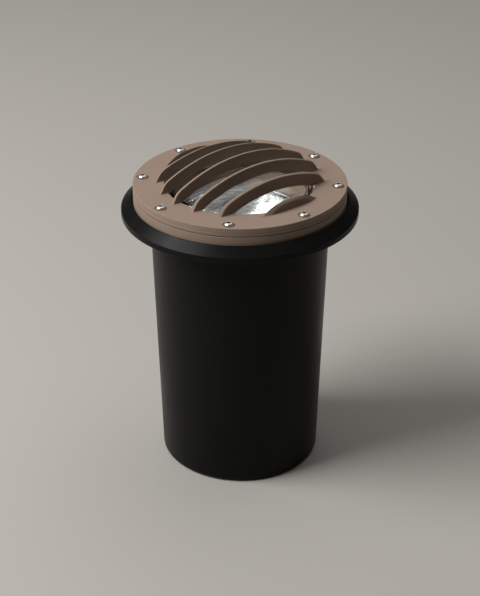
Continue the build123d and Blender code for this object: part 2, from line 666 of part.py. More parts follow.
def terminal_block():
    """Porcelain block: two wire holes along Y, two clamp screws to each and a fixing hole."""
    block = Pos(BLOCK_CENTRE, 0, YOKE_TOP_Z + BLOCK_HEIGHT / 2) * Box(
        BLOCK_LENGTH, BLOCK_WIDTH, BLOCK_HEIGHT)
    block = fillet(block.edges().filter_by(Axis.Z), CLAMP_HEAD)
    for pole in block_poles():
        block -= Pos(pole, 0, WIRE_Z) * Rot(90, 0, 0) * Cylinder(BLOCK_HOLE_RADIUS, 2 * BLOCK_WIDTH)
    for x, y in clamp_places():
        block -= Pos(x, y, 0) * disc(CLAMP_SCREW_RADIUS, WIRE_Z, BLOCK_HEIGHT)
        block -= Pos(x, y, 0) * disc(CLAMP_HEAD_RADIUS + CLAMP_RECESS_CLEARANCE,
                                     BLOCK_TOP_Z - 2 * CLAMP_HEAD, 3 * CLAMP_HEAD)
    block -= Pos(BLOCK_CENTRE, 0, 0) * disc(CLAMP_SCREW_RADIUS, YOKE_Z, 2 * BLOCK_HEIGHT)
    return block


def block_poles():
    return [BLOCK_CENTRE - BLOCK_POLES / 2, BLOCK_CENTRE + BLOCK_POLES / 2]


def clamp_places():
    return [(pole, side * BLOCK_WIDTH / 4) for pole in block_poles() for side in (-1, 1)]


def slotted_screw(shank_radius, head_radius, head, under_z, length):
    """Screw with its head above under_z and a shank of that length below."""
    screw = disc(shank_radius, under_z - length, length) + disc(head_radius, under_z, head)
    return screw - Pos(0, 0, under_z + head) * Box(3 * head_radius, head / 3, head)


def block_clamp_screws():
    """Four screws whose ends bear on the wires."""
    head_z = BLOCK_TOP_Z - 2 * CLAMP_HEAD
    length = head_z - WIRE_Z - LEAD_RADIUS
    screw = slotted_screw(CLAMP_SCREW_RADIUS, CLAMP_HEAD_RADIUS, CLAMP_HEAD, head_z, length)
    return Compound(children=[Pos(x, y, 0) * screw for x, y in clamp_places()])


def block_fixing_screw():
    screw = slotted_screw(CLAMP_SCREW_RADIUS, CLAMP_HEAD_RADIUS, CLAMP_HEAD, BLOCK_TOP_Z,
                          BLOCK_TOP_Z - YOKE_Z)
    return Pos(BLOCK_CENTRE, 0, 0) * screw


def yoke_friction_washer():
    return tube(PIVOT_BOSS_RADIUS, PIVOT_SCREW_RADIUS, WASHER_Z, FRICTION_WASHER)


def yoke_spring_washer():
    return tube(PIVOT_HEAD_RADIUS, PIVOT_SCREW_RADIUS, YOKE_TOP_Z, SPRING_WASHER)


def yoke_pivot_screw():
    return slotted_screw(PIVOT_SCREW_RADIUS, PIVOT_HEAD_RADIUS, PIVOT_HEAD, PIVOT_HEAD_Z,
                         PIVOT_HEAD_Z - WASHER_Z + PIVOT_THREAD)


# ---------------------------------------------------------------- lamp and its ring

def both_ends(shape):
    """shape, and its copy turned half round Z."""
    return [shape, Rot(0, 0, 180) * shape]


def along_x(shape, x):
    """Turn a shape built up along Z so that it starts at x and points out along X, on the tilt axis."""
    return Pos(x, 0, TILT_Z) * Rot(0, 90, 0) * shape


def lamp_ring():
    """Rolled ring: lip over the lamp's face, band round its rim and a bush for each tilt screw."""
    top_z = TILT_Z + RING_ABOVE_AXIS
    ring = turned([
        (RING_INNER, TILT_Z - RING_BELOW_AXIS),
        (RING_OUTER, TILT_Z - RING_BELOW_AXIS),
        (RING_OUTER, top_z),
        (RING_INNER - RING_LIP, top_z),
        (RING_INNER - RING_LIP, top_z - RING_WALL),
        (RING_INNER, top_z - RING_WALL),
    ])
    for lug in both_ends(along_x(disc(LUG_RADIUS, -RING_WALL / 2, LUG_LENGTH + RING_WALL / 2),
                                 RING_OUTER)):
        ring += lug
    return ring - Pos(0, 0, TILT_Z) * Rot(0, 90, 0) * Cylinder(
        TILT_SCREW_RADIUS + PIVOT_CLEARANCE, 3 * ARM_OUTER)


def lamp_spring_ring():
    """Wire ring sprung into the band behind the lamp's rim."""
    return Pos(0, 0, LAMP_BACK_Z - SPRING_WIRE / 2) * Torus(RING_INNER - SPRING_WIRE / 2,
                                                            SPRING_WIRE / 2)


def tilt_screws():
    """Shouldered screws held in the yoke's arms, on which the ring's bushes turn."""
    length = ARM_OUTER - RING_INNER
    screw = slotted_screw(TILT_SCREW_RADIUS, TILT_HEAD_RADIUS, TILT_HEAD, 0, length)
    return Compound(children=both_ends(along_x(screw, ARM_OUTER)))


def tilt_washers():
    washer = tube(TILT_WASHER_RADIUS, TILT_SCREW_RADIUS, 0, TILT_WASHER)
    return Compound(children=both_ends(along_x(washer, LUG_END)))


def lamp_reflector():
    """Pressed-glass paraboloid with a rim, a neck and a hole through the neck for the burner."""
    steps = 6

    def bowl(radius, inset):
        return (radius, REFLECTOR_Z - inset + radius**2 / (4 * FOCUS))

    mouth_z = LAMP_FRONT_Z - LAMP_GLASS
    inner = [bowl(REFLECTOR_MOUTH * step / steps, 0) for step in range(steps + 1)]
    outer = [bowl(REFLECTOR_MOUTH * step / steps, REFLECTOR_BACK)
             for step in range(steps + 1)]
    rim_start = LAMP_BACK_Z
    outer_rim = math.sqrt((rim_start - REFLECTOR_Z + REFLECTOR_BACK) * 4 * FOCUS)
    outer = [point for point in outer if point[0] < outer_rim - 1 and point[0] > LAMP_NECK_RADIUS]
    outer = [bowl(LAMP_NECK_RADIUS, REFLECTOR_BACK), *outer, (outer_rim, rim_start)]
    with BuildPart() as reflector:
        with BuildSketch(Plane.XZ):
            with BuildLine():
                Spline(*inner)
                Polyline(inner[-1], (LAMP_RADIUS, mouth_z), (LAMP_RADIUS, rim_start), outer[-1])
                Spline(*reversed(outer))
                Polyline(outer[0], (LAMP_NECK_RADIUS, NECK_Z), (0, NECK_Z), inner[0])
            make_face()
        revolve(axis=Axis.Z)
    return reflector.part - disc(BURNER_RADIUS, REFLECTOR_Z - LAMP_NECK / 2, 2 * LAMP_NECK)


def lamp_front_glass():
    """Shallow pressed glass dome on the reflector's rim."""
    base_z = LAMP_FRONT_Z - LAMP_GLASS
    edge = RING_INNER - RING_LIP - LAMP_DOME_GAP
    bulge = (edge**2 + LAMP_GLASS_BULGE**2) / (2 * LAMP_GLASS_BULGE)
    with BuildPart() as glass:
        with BuildSketch(Plane.XZ):
            with BuildLine():
                Polyline((0, LAMP_FRONT_Z + LAMP_GLASS_BULGE), (0, base_z), (LAMP_RADIUS, base_z),
                         (LAMP_RADIUS, LAMP_FRONT_Z), (edge, LAMP_FRONT_Z))
                RadiusArc((edge, LAMP_FRONT_Z), (0, LAMP_FRONT_Z + LAMP_GLASS_BULGE), -bulge)
            make_face()
        revolve(axis=Axis.Z)
    return glass.part


def lamp_burner():
    """Halogen capsule standing in the neck, with a round end."""
    base_z = REFLECTOR_Z - LAMP_NECK / 2
    top_z = base_z + LAMP_NECK / 2 + BURNER_LENGTH
    return turned([(0, base_z), (BURNER_RADIUS, base_z), (BURNER_RADIUS, top_z), (0, top_z)],
                  [((BURNER_RADIUS, top_z), BURNER_ROUND)])


def burner_shield():
    """Open cap over the capsule's end."""
    top_z = REFLECTOR_Z + BURNER_LENGTH
    cap = disc(SHIELD_RADIUS, top_z - SHIELD_LENGTH + SHIELD_WALL, SHIELD_LENGTH)
    cap -= disc(SHIELD_RADIUS - SHIELD_WALL, top_z - SHIELD_LENGTH, SHIELD_LENGTH)
    return cap


def at_posts(shape):
    return [Pos(side * POST_SPACING / 2, 0, 0) * shape for side in (-1, 1)]


def lamp_terminal_posts():
    post = tube(POST_RADIUS, POST_SCREW_RADIUS, POST_Z, POST_LENGTH)
    return Compound(children=at_posts(post))


def lamp_terminal_screws():
    screw = slotted_screw(POST_SCREW_RADIUS, POST_HEAD_RADIUS, POST_HEAD, 0,
                          FORK_STOCK + POST_THREAD)
    return Compound(children=at_posts(Pos(0, 0, FORK_Z) * Rot(180, 0, 0) * screw))


def lead_fork_terminals():
    """Forked tongue under each terminal screw, with a crimped barrel that the lead ends in."""
    slot = POST_SCREW_RADIUS + FORK_CLEARANCE
    back = FORK_WIDTH / 2
    tongue = Pos(0, (FORK_REACH + 1 - back) / 2, FORK_Z + FORK_STOCK / 2) * Box(
        FORK_WIDTH, FORK_REACH + 1 + back, FORK_STOCK)
    tongue -= Pos(0, 0, FORK_Z - 1) * extrude(
        Pos(0, -back / 2) * Rectangle(2 * slot, back) + Circle(slot), 4 * FORK_STOCK)
    barrel = Pos(0, FORK_REACH + FORK_BARREL / 2, FORK_Z + FORK_STOCK / 2) * Rot(90, 0, 0) * (
        Cylinder(FORK_BARREL_RADIUS, FORK_BARREL))
    return Compound(children=at_posts(tongue + barrel))


# ---------------------------------------------------------------- internal leads

def lead(points):
    """Round lead along straight runs joined by arcs as large as the runs allow."""
    places = [Vector(*point) for point in points]
    radii = []
    for before, corner, after in zip(places, places[1:], places[2:]):
        turn = math.radians((corner - before).get_angle(after - corner))
        shorter = min((corner - before).length, (after - corner).length)
        radii.append(0.45 * shorter / math.tan(turn / 2))
    path = FilletPolyline(*places, radius=radii)
    print("lead bend radii", [round(radius, 1) for radius in radii],
          "length", round(path.length, 1))
    section = Plane(origin=places[0], z_dir=places[1] - places[0]) * Circle(LEAD_RADIUS)
    return sweep(section, path=path)


LEAD_START = FORK_REACH + FORK_BARREL
LEAD_Z = FORK_Z + FORK_STOCK / 2
LEAD_END = BLOCK_WIDTH / 2 - LEAD_SEATED


def lead_black():
    pole = block_poles()[0]
    return lead([
        (POST_SPACING / 2, LEAD_START, LEAD_Z),
        (POST_SPACING / 2, LEAD_START + LEAD_OUT, LEAD_Z),
        (pole - LEAD_SIDE, LEAD_START + LEAD_SWING, WIRE_Z + LEAD_LIFT),
        (pole, LEAD_START + LEAD_IN, WIRE_Z),
        (pole, LEAD_END, WIRE_Z),
    ])


def lead_white():
    pole = block_poles()[1]
    swing = LEAD_START + LEAD_SWING + LEAD_APART
    return lead([
        (-POST_SPACING / 2, LEAD_START, LEAD_Z),
        (-POST_SPACING / 2, LEAD_START + LEAD_OUT, LEAD_Z),
        (POST_SPACING / 2, swing, WIRE_Z + LEAD_LIFT),
        (pole - LEAD_SIDE, swing - LEAD_SIDE / 2, WIRE_Z + LEAD_LIFT / 4),
        (pole, LEAD_START + LEAD_IN, WIRE_Z),
        (pole, LEAD_END, WIRE_Z),
    ])


# ---------------------------------------------------------------- write the pieces

PIECES = [
    ground_sleeve, lamp_housing, body_gasket, lens_gasket, lens_glass, grille_cover, cover_screws,
    gland_body, gland_seal, gland_nut, gland_o_ring, gland_locknut, lamp_yoke, terminal_block,
    block_clamp_screws, block_fixing_screw, yoke_friction_washer, yoke_spring_washer,
    yoke_pivot_screw, lamp_ring, lamp_spring_ring, tilt_screws, tilt_washers, lamp_reflector,
    lamp_front_glass, lamp_burner, burner_shield, lamp_terminal_posts, lamp_terminal_screws,
    lead_fork_terminals, lead_black, lead_white,
]

os.makedirs("parts", exist_ok=True)
for piece in PIECES:
    export_step(piece(), f"parts/{piece.__name__}.step")
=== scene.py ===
import bpy
import numpy as np
from bpy.props import FloatProperty, FloatVectorProperty, IntProperty, PointerProperty
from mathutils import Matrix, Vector


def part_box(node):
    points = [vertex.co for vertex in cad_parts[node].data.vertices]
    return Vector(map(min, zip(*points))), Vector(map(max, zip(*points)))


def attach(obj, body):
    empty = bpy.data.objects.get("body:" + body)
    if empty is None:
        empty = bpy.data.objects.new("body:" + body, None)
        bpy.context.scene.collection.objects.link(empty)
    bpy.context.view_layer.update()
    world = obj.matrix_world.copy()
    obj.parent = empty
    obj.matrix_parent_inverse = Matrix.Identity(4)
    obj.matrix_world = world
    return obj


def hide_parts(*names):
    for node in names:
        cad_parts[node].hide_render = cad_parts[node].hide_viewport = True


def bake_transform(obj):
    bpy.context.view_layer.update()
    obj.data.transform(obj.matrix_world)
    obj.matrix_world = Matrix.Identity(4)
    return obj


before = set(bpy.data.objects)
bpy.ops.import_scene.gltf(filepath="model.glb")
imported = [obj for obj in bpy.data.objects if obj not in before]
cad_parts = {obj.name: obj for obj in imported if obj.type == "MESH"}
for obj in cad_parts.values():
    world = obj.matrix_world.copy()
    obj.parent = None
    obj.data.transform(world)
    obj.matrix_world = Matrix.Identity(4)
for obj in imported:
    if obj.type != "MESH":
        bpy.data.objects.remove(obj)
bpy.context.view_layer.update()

bl_info = {
    "name": "Well Light",
    "version": (1, 0, 0),
    "blender": (4, 5, 0),
    "location": "View3D > Sidebar > Well Light",
    "description": "Castings, glass, lamp and finishes of an in-ground well light, and a stage for it",
    "category": "Add Mesh",
}

MM = 0.001
TURN = 2 * np.pi
FLATS = 6                # sides of a nut, of a gland's body and of a screw's socket
CONE_START = 0.97        # where the cones on a hexagon's ends start, in distances to its flats
THREAD_DEPTH = 0.54      # depth of a thread, as a share of its pitch
GUARD = 0.4 * MM         # distance of a guard point from its arc
FINE_GUARD = 0.1 * MM    # the same on small edges
GUARD_SHARE = 0.4        # share of a straight side that a guard point may take
NEAR_UPRIGHT = 0.9       # rise of a path, as a share of its length, above which it counts as upright
BOTTOM_EDGE = 3          # a bottom's flat part starts this many radii inside the wall
SOCKET_SHADE = "grime"          # attribute that is 1 inside the screws' sockets, where shade is painted


# ------------------------------------------------------------------ places on the frame

def low(node):
    """Lowest corner of a node's box at rest."""
    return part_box(node)[0]


def high(node):
    """Highest corner of that box."""
    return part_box(node)[1]


def middle(node):
    """Middle of that box."""
    return (low(node) + high(node)) / 2


def heights_of(node):
    """Lowest and highest height of that box."""
    return low(node).z, high(node).z


# ------------------------------------------------------------------ outlines

def unit(vectors):
    """Vectors divided by their own lengths, along the last axis."""
    return vectors / np.linalg.norm(vectors, axis=-1, keepdims=True)


def rounded(corners, radii=None, steps=6, guard=GUARD):
    """Outline with arcs in its corners, as an array of points.
    Where the two sides meet at the angle w, an arc of radius r starts r / tan(w / 2) along each of them,
    and its centre is r / sin(w / 2) along their bisector. A guard point stands a little before and after
    each arc, so that smooth shading leaves the straight sides flat."""
    corners, radii = np.asarray(corners, float), radii or {}
    outline = []
    for index, corner in enumerate(corners):
        radius = radii.get(index, 0.0)
        if not radius:
            outline.append(corner[None])
            continue
        before = corners[index - 1] - corner
        after = corners[(index + 1) % len(corners)] - corner
        to_before, to_after = unit(before), unit(after)
        half = np.arccos(np.clip(to_before @ to_after, -1, 1)) / 2
        reach = radius / np.tan(half)
        centre = corner + unit(to_before + to_after) * radius / np.sin(half)
        first, last = corner + to_before * reach - centre, corner + to_after * reach - centre
        sweep = np.pi - 2 * half
        t = np.linspace(0, 1, steps + 1)[:, None]
        arc = centre + (np.sin((1 - t) * sweep) * first + np.sin(t * sweep) * last) / np.sin(sweep)
        room = [max(0.0, min(guard, GUARD_SHARE * (np.linalg.norm(side) - reach)))
                for side in (before, after)]
        outline += [arc[:1] + to_before * room[0], arc, arc[-1:] + to_after * room[1]]
    return np.concatenate(outline)


def angles(count, start=0.0):
    """That many directions, evenly spaced round a turn."""
    return start + np.arange(count) * TURN / count


def ball_radius(edge, rise):
    """Radius of the ball on which a cap of that edge radius and rise lies:
    (edge squared + rise squared) / (2 rise)."""
    return (edge**2 + rise**2) / (2 * rise)


def ball_arc(ball, centre_z, start, end, steps=48):
    """Outline of a ball on the axis, r = ball sin a and z = centre + ball cos a, between two radii."""
    a = np.linspace(np.arcsin(start / ball), np.arcsin(end / ball), steps)
    return np.stack([ball * np.sin(a), centre_z + ball * np.cos(a)], 1)


def bow(start, end, rise, steps):
    """Points of the circular arc between two (radius, height) points that stands rise off their chord,
    on its left-hand side; a negative rise puts it on the right."""
    start, end = np.asarray(start, float), np.asarray(end, float)
    chord = end - start
    half = np.linalg.norm(chord) / 2
    radius = ball_radius(half, rise)
    across = np.array([-chord[1], chord[0]]) / (2 * half)
    spread = np.arcsin(half / radius)
    a = np.linspace(-spread, spread, steps)[:, None]
    return (start + end) / 2 + across * (rise - radius + radius * np.cos(a)) \
        + chord / (2 * half) * radius * np.sin(a)


# ------------------------------------------------------------------ surfaces

def lathe(outline, around, centre=(0.0, 0.0)):
    """Grid of an outline turned about a vertical axis: x = r cos a, y = r sin a, z = height.
    An outline point is (radius, height), or (radius, height, flat) where six flats at that distance from
    the axis cut its circle down: r is then at most flat / cos(angle from the nearest flat's middle).
    An outline that keeps the solid on its left gives faces that point outwards."""
    outline, around = np.asarray(outline, float), np.asarray(around, float)
    reach = np.broadcast_to(outline[:, 0], (len(around), len(outline)))
    if outline.shape[1] == 3:
        off_flat = around % (TURN / FLATS) - TURN / FLATS / 2
        reach = np.minimum(reach, np.outer(1 / np.cos(off_flat), outline[:, 2]))
    x = centre[0] + np.cos(around)[:, None] * reach
    y = centre[1] + np.sin(around)[:, None] * reach
    return np.stack([x, y, np.broadcast_to(outline[:, 1], x.shape)], -1)


def faced(outline, flat=np.inf):
    """Outline points with the distance of the flats that cut them down; without one they stay round."""
    outline = np.asarray(outline, float)
    return np.column_stack([outline, np.full(len(outline), flat)])


def corner_of(flats):
    """Radius at the corners of a hexagon of that size across its flats."""
    return flats / 2 / np.cos(TURN / FLATS / 2)


def hexagon(flats, low_z, high_z, chamfer, steps=5):
    """Outer side of a hexagon of that size across its flats, whose corners are turned off at both ends
    by cones that start just inside the flats."""
    radius = np.linspace(CONE_START * flats / 2, corner_of(flats), steps)
    rise = np.linspace(0, chamfer, steps)
    return faced(np.concatenate([np.stack([radius, low_z + rise], 1),
                                 np.stack([radius, high_z - rise], 1)[::-1]]), flats / 2)


def grooves(radius, start_z, end_z, pitch):
    """Outline of a thread: the crest and the root by turns, half a pitch apart."""
    count = 2 * max(1, round(abs(end_z - start_z) / pitch)) + 1
    depth = np.where(np.arange(count) % 2 == 0, 0.0, THREAD_DEPTH * pitch)
    return np.stack([radius - depth, np.linspace(start_z, end_z, count)], 1)


def cap(edge, base_z, rise, steps=40):
    """Outline of a cap of a ball, from its edge to the axis."""
    ball = ball_radius(edge, rise)
    return ball_arc(ball, base_z + rise - ball, edge, 0, steps)


def ring_sector(around, inner, outer, top, bottom, hole_at, hole):
    """Sector of a flat ring with a stepped hole through it.
    Straight lines run from the hole's axis to points along the sector's edge. On each of them the grid
    follows the top face inwards, the hole's (radius, height) outline, and the bottom face outwards."""
    radial = np.linspace(outer, inner, len(around))[1:-1]

    def at(radius, a):
        """Place r cos a, r sin a on the ground plane."""
        return np.stack(np.broadcast_arrays(radius * np.cos(a), radius * np.sin(a)), -1)

    edge = np.concatenate([at(outer, around), at(radial, around[-1]), at(inner, around[::-1]),
                           at(radial[::-1], around[0])])
    radius, height = np.asarray(hole, float).T
    wall = hole_at + unit(edge - hole_at)[:, None] * radius[:, None]
    flat = np.concatenate([edge[:, None], wall, edge[:, None]], 1)
    heights = np.concatenate([[top], height, [bottom]])
    return np.concatenate([flat, np.broadcast_to(heights[:, None], flat.shape[:2] + (1,))], -1)


def tube(path, radius, sides=16, closed=False):
    """Grid of circles carried along a path of points, or round a closed one: each circle lies across the
    path's direction, and its starting side is level with the ground."""
    path = np.asarray(path, float)
    ahead = np.roll(path, -1, 0) - np.roll(path, 1, 0)
    if not closed:
        ahead[0], ahead[-1] = path[1] - path[0], path[-1] - path[-2]
    ahead = unit(ahead)
    level = (0.0, 0.0, 1.0) if abs(ahead[0, 2]) < NEAR_UPRIGHT else (0.0, 1.0, 0.0)
    side = unit(np.cross(ahead, level))
    up = np.cross(side, ahead)
    a = angles(sides)[None, :, None]
    radius = np.broadcast_to(radius, len(path))[:, None, None]
    return path[:, None] + radius * (side[:, None] * np.cos(a) + up[:, None] * np.sin(a))


def block(size, low_z, high_z, corner, edge, steps=4):
    """Grid of an upright bar with rounded corners, whose upper edge is an arc: level by level the bar's
    outline draws in by edge (1 - cos a) as it rises by edge sin a."""
    half = np.asarray(size, float) / 2
    a = np.linspace(np.pi / 2, 0, steps + 1)
    heights = np.append(high_z - edge + edge * np.sin(a), low_z)
    insets = np.append(edge * (1 - np.cos(a)), 0.0)
    signs = np.array([(1, -1), (1, 1), (-1, 1), (-1, -1)])
    sides = [rounded(signs * (half - inset), dict.fromkeys(range(4), corner - inset), steps, guard=0.0)
             for inset in insets]
    return np.stack([np.column_stack([side, np.full(len(side), z)])
                     for side, z in zip(sides, heights)])


def guided(name, points):
    """Points along the smooth spline that these points guide."""
    curve = bpy.data.curves.new(name, "CURVE")
    curve.dimensions, curve.resolution_u = "3D", 16
    spline = curve.splines.new("NURBS")
    spline.points.add(len(points) - 1)
    spline.points.foreach_set("co", np.column_stack([points, np.ones(len(points))]).ravel())
    spline.order_u = 3
    spline.use_endpoint_u = True
    guide = bpy.data.objects.new(name, curve)
    mesh = bpy.data.meshes.new_from_object(guide)
    path = np.empty(3 * len(mesh.vertices))
    mesh.vertices.foreach_get("co", path)
    bpy.data.objects.remove(guide)
    bpy.data.meshes.remove(mesh)
    bpy.data.curves.remove(curve)
    return path.reshape(-1, 3)


def turned_by(turn):
    """Change of points that turns them about the vertical axis."""
    cos, sin = np.cos(turn), np.sin(turn)
    return lambda points: points @ np.array([[cos, sin, 0.0], [-sin, cos, 0.0], [0.0, 0.0, 1.0]])


def laid_along_x(side, tilt_z):
    """Change of points that lays a vertical axis along X, at the height tilt_z, to one side."""
    return lambda points: np.stack(
        [side * points[:, 2], side * points[:, 1], tilt_z - points[:, 0]], -1)


class Surface:
    """Grids of points that are welded into one mesh."""

    def __init__(self):
        self.points, self.quads, self.count = [], [], 0

    def add(self, grid, wrap_rows=True, wrap_columns=False):
        """Adds a grid (rows, columns, 3). A wrapped one joins its last row or column to the first."""
        rows, columns = grid.shape[:2]
        index = np.arange(rows * columns).reshape(rows, columns)
        if wrap_rows:
            index = np.vstack([index, index[:1]])
        if wrap_columns:
            index = np.hstack([index, index[:, :1]])
        quads = np.stack([index[:-1, :-1], index[1:, :-1], index[1:, 1:], index[:-1, 1:]], -1)
        self.quads.append(quads.reshape(-1, 4) + self.count)
        self.points.append(grid.reshape(-1, 3))
        self.count += rows * columns
        return self

    def turn(self, outline, divisions, centre=(0.0, 0.0), ring=True):
        """Adds an outline turned all the way round; a ring's outline is closed on itself, and any other
        one starts and ends on the axis."""
        return self.add(lathe(outline, angles(divisions), centre), wrap_columns=ring)

    def bar(self, grid):
        """Adds a grid whose rows are closed loops, with a fan to the middle over each end."""
        first, last = (np.broadcast_to(grid[k].mean(0), grid[k].shape)[None] for k in (0, -1))
        return self.add(np.concatenate([first, grid, last]), wrap_rows=False, wrap_columns=True)

    def copies(self, other, places):
        """Adds another surface again at each of the places."""
        points, quads = np.concatenate(other.points), np.concatenate(other.quads)
        for place in places:
            self.quads.append(quads + self.count)
            self.points.append(points + place)
            self.count += len(points)
        return self

    def carry(self, change):
        """Puts every point through change, a function of an array of points."""
        self.points = [change(points) for points in self.points]
        return self

    def mesh(self, name, weld=2e-6):
        """Points nearer than weld become one, and a quad that loses a side becomes a triangle."""
        points, quads = np.concatenate(self.points), np.concatenate(self.quads)
        first, welded = np.unique(np.round(points / weld).astype(np.int64), axis=0,
                                  return_index=True, return_inverse=True)[1:]
        quads = welded.reshape(-1)[quads]
        same = quads == np.roll(quads, -1, axis=1)
        lost = same.sum(1)
        thin = quads[lost == 1][~same[lost == 1]].reshape(-1, 3)
        mesh = bpy.data.meshes.new(name)
        mesh.from_pydata(points[first].tolist(), [], quads[lost == 0].tolist() + thin.tolist())
        mesh.validate()
        return mesh


def linked(name, data):
    """New object in the scene."""
    thing = bpy.data.objects.new(name, data)
    bpy.context.scene.collection.objects.link(thing)
    return thing


def shaped(name, surface, finish, sharp=32.0):
    """Object of a surface. Its shading is smooth but for edges sharper than that many degrees."""
    mesh = surface.mesh(name)
    mesh.shade_smooth()
    mesh.set_sharp_from_angle(angle=np.radians(sharp))
    mesh.materials.append(finish)
    thing = linked(name, mesh)
    return thing


def piece(name, surface, body, stands_for, finish):
    """Object of a surface that rides on a body and stands for a node of the frame."""
    thing = shaped(name, surface, finish)
    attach(thing, body)
    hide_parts(stands_for)
    return thing


def dress(finish, nodes):
    """Gives nodes of the frame a finish."""
    for node in nodes:
        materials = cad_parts[node].data.materials
        materials.clear()
        materials.append(finish)


# ------------------------------------------------------------------ shaders

class Value:
    """A socket that gives a number, a colour or a shader. + and * on it add Math nodes."""

    def __init__(self, nodes, socket):
        self.nodes, self.socket = nodes, socket

    def math(self, operation, other):
        """This value and another one, a number or a Value, through a Math node."""
        return self.nodes.node("ShaderNodeMath", {"operation": operation}, {0: self, 1: other})

    def __add__(self, other):
        return self.math("ADD", other)

    def __mul__(self, other):
        return self.math("MULTIPLY", other)


class Nodes:
    """The node tree of a material or world."""

    def __init__(self, owner):
        owner.use_nodes = True
        self.tree = owner.node_tree

    def node(self, kind, settings=None, inputs=None, output=0):
        """Adds a node: settings are its own properties, and inputs its sockets' values or links."""
        node = self.tree.nodes.new(kind)
        for setting, value in (settings or {}).items():
            setattr(node, setting, value)
        for socket, value in (inputs or {}).items():
            if isinstance(value, Value):
                self.tree.links.new(value.socket, node.inputs[socket])
            else:
                node.inputs[socket].default_value = value
        return Value(self, node.outputs[output])

    def fill(self, name, **constants):
        """Sets constant sockets, by name, of a node that is there already, and gives the node."""
        node = self.tree.nodes[name]
        for socket, value in constants.items():
            node.inputs[socket.replace("_", " ")].default_value = value
        return node


class Finish(Nodes):
    """A material round one Principled shader, whose constant sockets are set by name."""

    def __init__(self, name, **constants):
        self.material = bpy.data.materials.new(name)
        super().__init__(self.material)
        self.shader = self.fill("Principled BSDF", **constants)
        self.place = self.node("ShaderNodeTexCoord", output="Object")

    def feed(self, socket, value):
        """Links a value to one of the shader's sockets."""
        self.tree.links.new(value.socket, self.shader.inputs[socket])
        return self

    def noise(self, size, detail=2.0, roughness=0.5, stretch=(1, 1, 1), distortion=0.0):
        """Noise from 0 to 1 with blotches of about that size, stretched along some axes."""
        place = self.node("ShaderNodeMapping", inputs={
            "Vector": self.place, "Scale": [1 / (size * s) for s in stretch]})
        return self.node("ShaderNodeTexNoise", inputs={
            "Vector": place, "Scale": 1.0, "Detail": detail, "Roughness": roughness,
            "Distortion": distortion})

    def between(self, value, start, end, first=0.0, last=1.0):
        """Carries value from start..end to first..last on an S-shaped curve, held beyond its ends."""
        return self.node("ShaderNodeMapRange", {"interpolation_type": "SMOOTHSTEP"}, {
            "Value": value, "From Min": start, "From Max": end, "To Min": first, "To Max": last})

    def mix(self, factor, first, second):
        """Colour that goes from first to second as factor goes from 0 to 1."""
        pair = {key: c if isinstance(c, Value) else (*c, 1.0) for key, c in ((6, first), (7, second))}
        return self.node("ShaderNodeMix", {"data_type": "RGBA"}, {0: factor, **pair}, 2)

    def bump(self, height, distance, strength=1.0):
        """Tilts the surface's normal as if it stood height times distance higher."""
        return self.feed("Normal", self.node("ShaderNodeBump", inputs={
            "Height": height, "Distance": distance, "Strength": strength}))


def shade(colour, gain=1.0):
    """A colour property as plain numbers, lighter or darker by gain."""
    return tuple(min(1.0, c * gain) for c in colour)


def powder_coat(name, colour):
    """Fine-textured powder coat: small cured grains that catch the light, over slow changes of shade."""
    coat = Finish(name, Specular_IOR_Level=0.25)
    grain = coat.noise(0.6 * MM, detail=3.0, roughness=0.6)
    cloud = coat.noise(24 * MM, detail=3.0)
    speck = coat.noise(1.3 * MM, detail=1.0)
    clouded = coat.mix(cloud, shade(colour, 0.93), shade(colour, 1.07))
    grained = coat.mix(coat.between(grain, 0.35, 0.7) * 0.4, clouded, shade(colour, 1.25))
    specked = coat.mix(coat.between(speck, 0.6, 0.75) * 0.3, grained, shade(colour, 0.7))
    coat.feed("Base Color", specked)
    coat.feed("Roughness", coat.between(grain, 0.25, 0.75, 0.7, 0.52))
    return coat.bump(grain, 0.07 * MM, strength=0.6).material


def moulded(name, colour, roughness, texture=0.04, gloss=0.5):
    """Moulded plastic: a fine spark-eroded texture, given in millimetres, and a little flow in its
    sheen."""
    plastic = Finish(name, Specular_IOR_Level=gloss)
    spark = plastic.noise(0.45 * MM, roughness=0.6)
    flow = plastic.noise(16 * MM, detail=3.0, stretch=(1, 1, 3))
    plastic.feed("Base Color", plastic.mix(flow, shade(colour, 0.85), shade(colour, 1.15)))
    sheen = plastic.between(flow * 0.6 + spark * 0.4, 0.3, 0.7, roughness - 0.05, roughness + 0.06)
    plastic.feed("Roughness", sheen)
    return plastic.bump(spark, texture * MM, strength=0.5).material


def rubber(name, colour):
    """Matt rubber with a dusty bloom."""
    skin = Finish(name, Specular_IOR_Level=0.35)
    bloom = skin.noise(5 * MM, detail=4.0, roughness=0.6)
    skin.feed("Base Color", skin.mix(bloom, shade(colour, 0.8), shade(colour, 1.7)))
    skin.feed("Roughness", skin.between(bloom, 0.3, 0.7, 0.6, 0.8))
    return skin.bump(skin.noise(0.3 * MM), 0.03 * MM, strength=0.4).material


def metal(name, colour, roughness, grain=0.5, grime=None):
    """Bare or plated metal: a fine speckle in its sheen, and a faint change of tint. grain is the
    speckle's size in millimetres, and the last argument names an attribute that is 1 where shade is
    painted, darkening the colour nearly to black."""
    bare = Finish(name, Metallic=1.0)
    speckle = bare.noise(grain * MM, detail=3.0, roughness=0.6)
    cloud = bare.noise(9 * MM, detail=3.0)
    tint = bare.mix(cloud, shade(colour, 0.88), shade(colour, 1.08))
    if grime:
        # painted shade: where the attribute is 1, inside the sockets, the colour goes nearly to black
        shade_mask = bare.node("ShaderNodeAttribute", {"attribute_name": grime}, output="Fac")
        tint = bare.mix(shade_mask * 0.9, tint, shade(colour, 0.03))
    bare.feed("Base Color", tint)
    bare.feed("Roughness", bare.between(speckle, 0.25, 0.75, roughness * 0.75, roughness * 1.3))
    return bare.bump(speckle, 0.01 * MM, strength=0.5).material


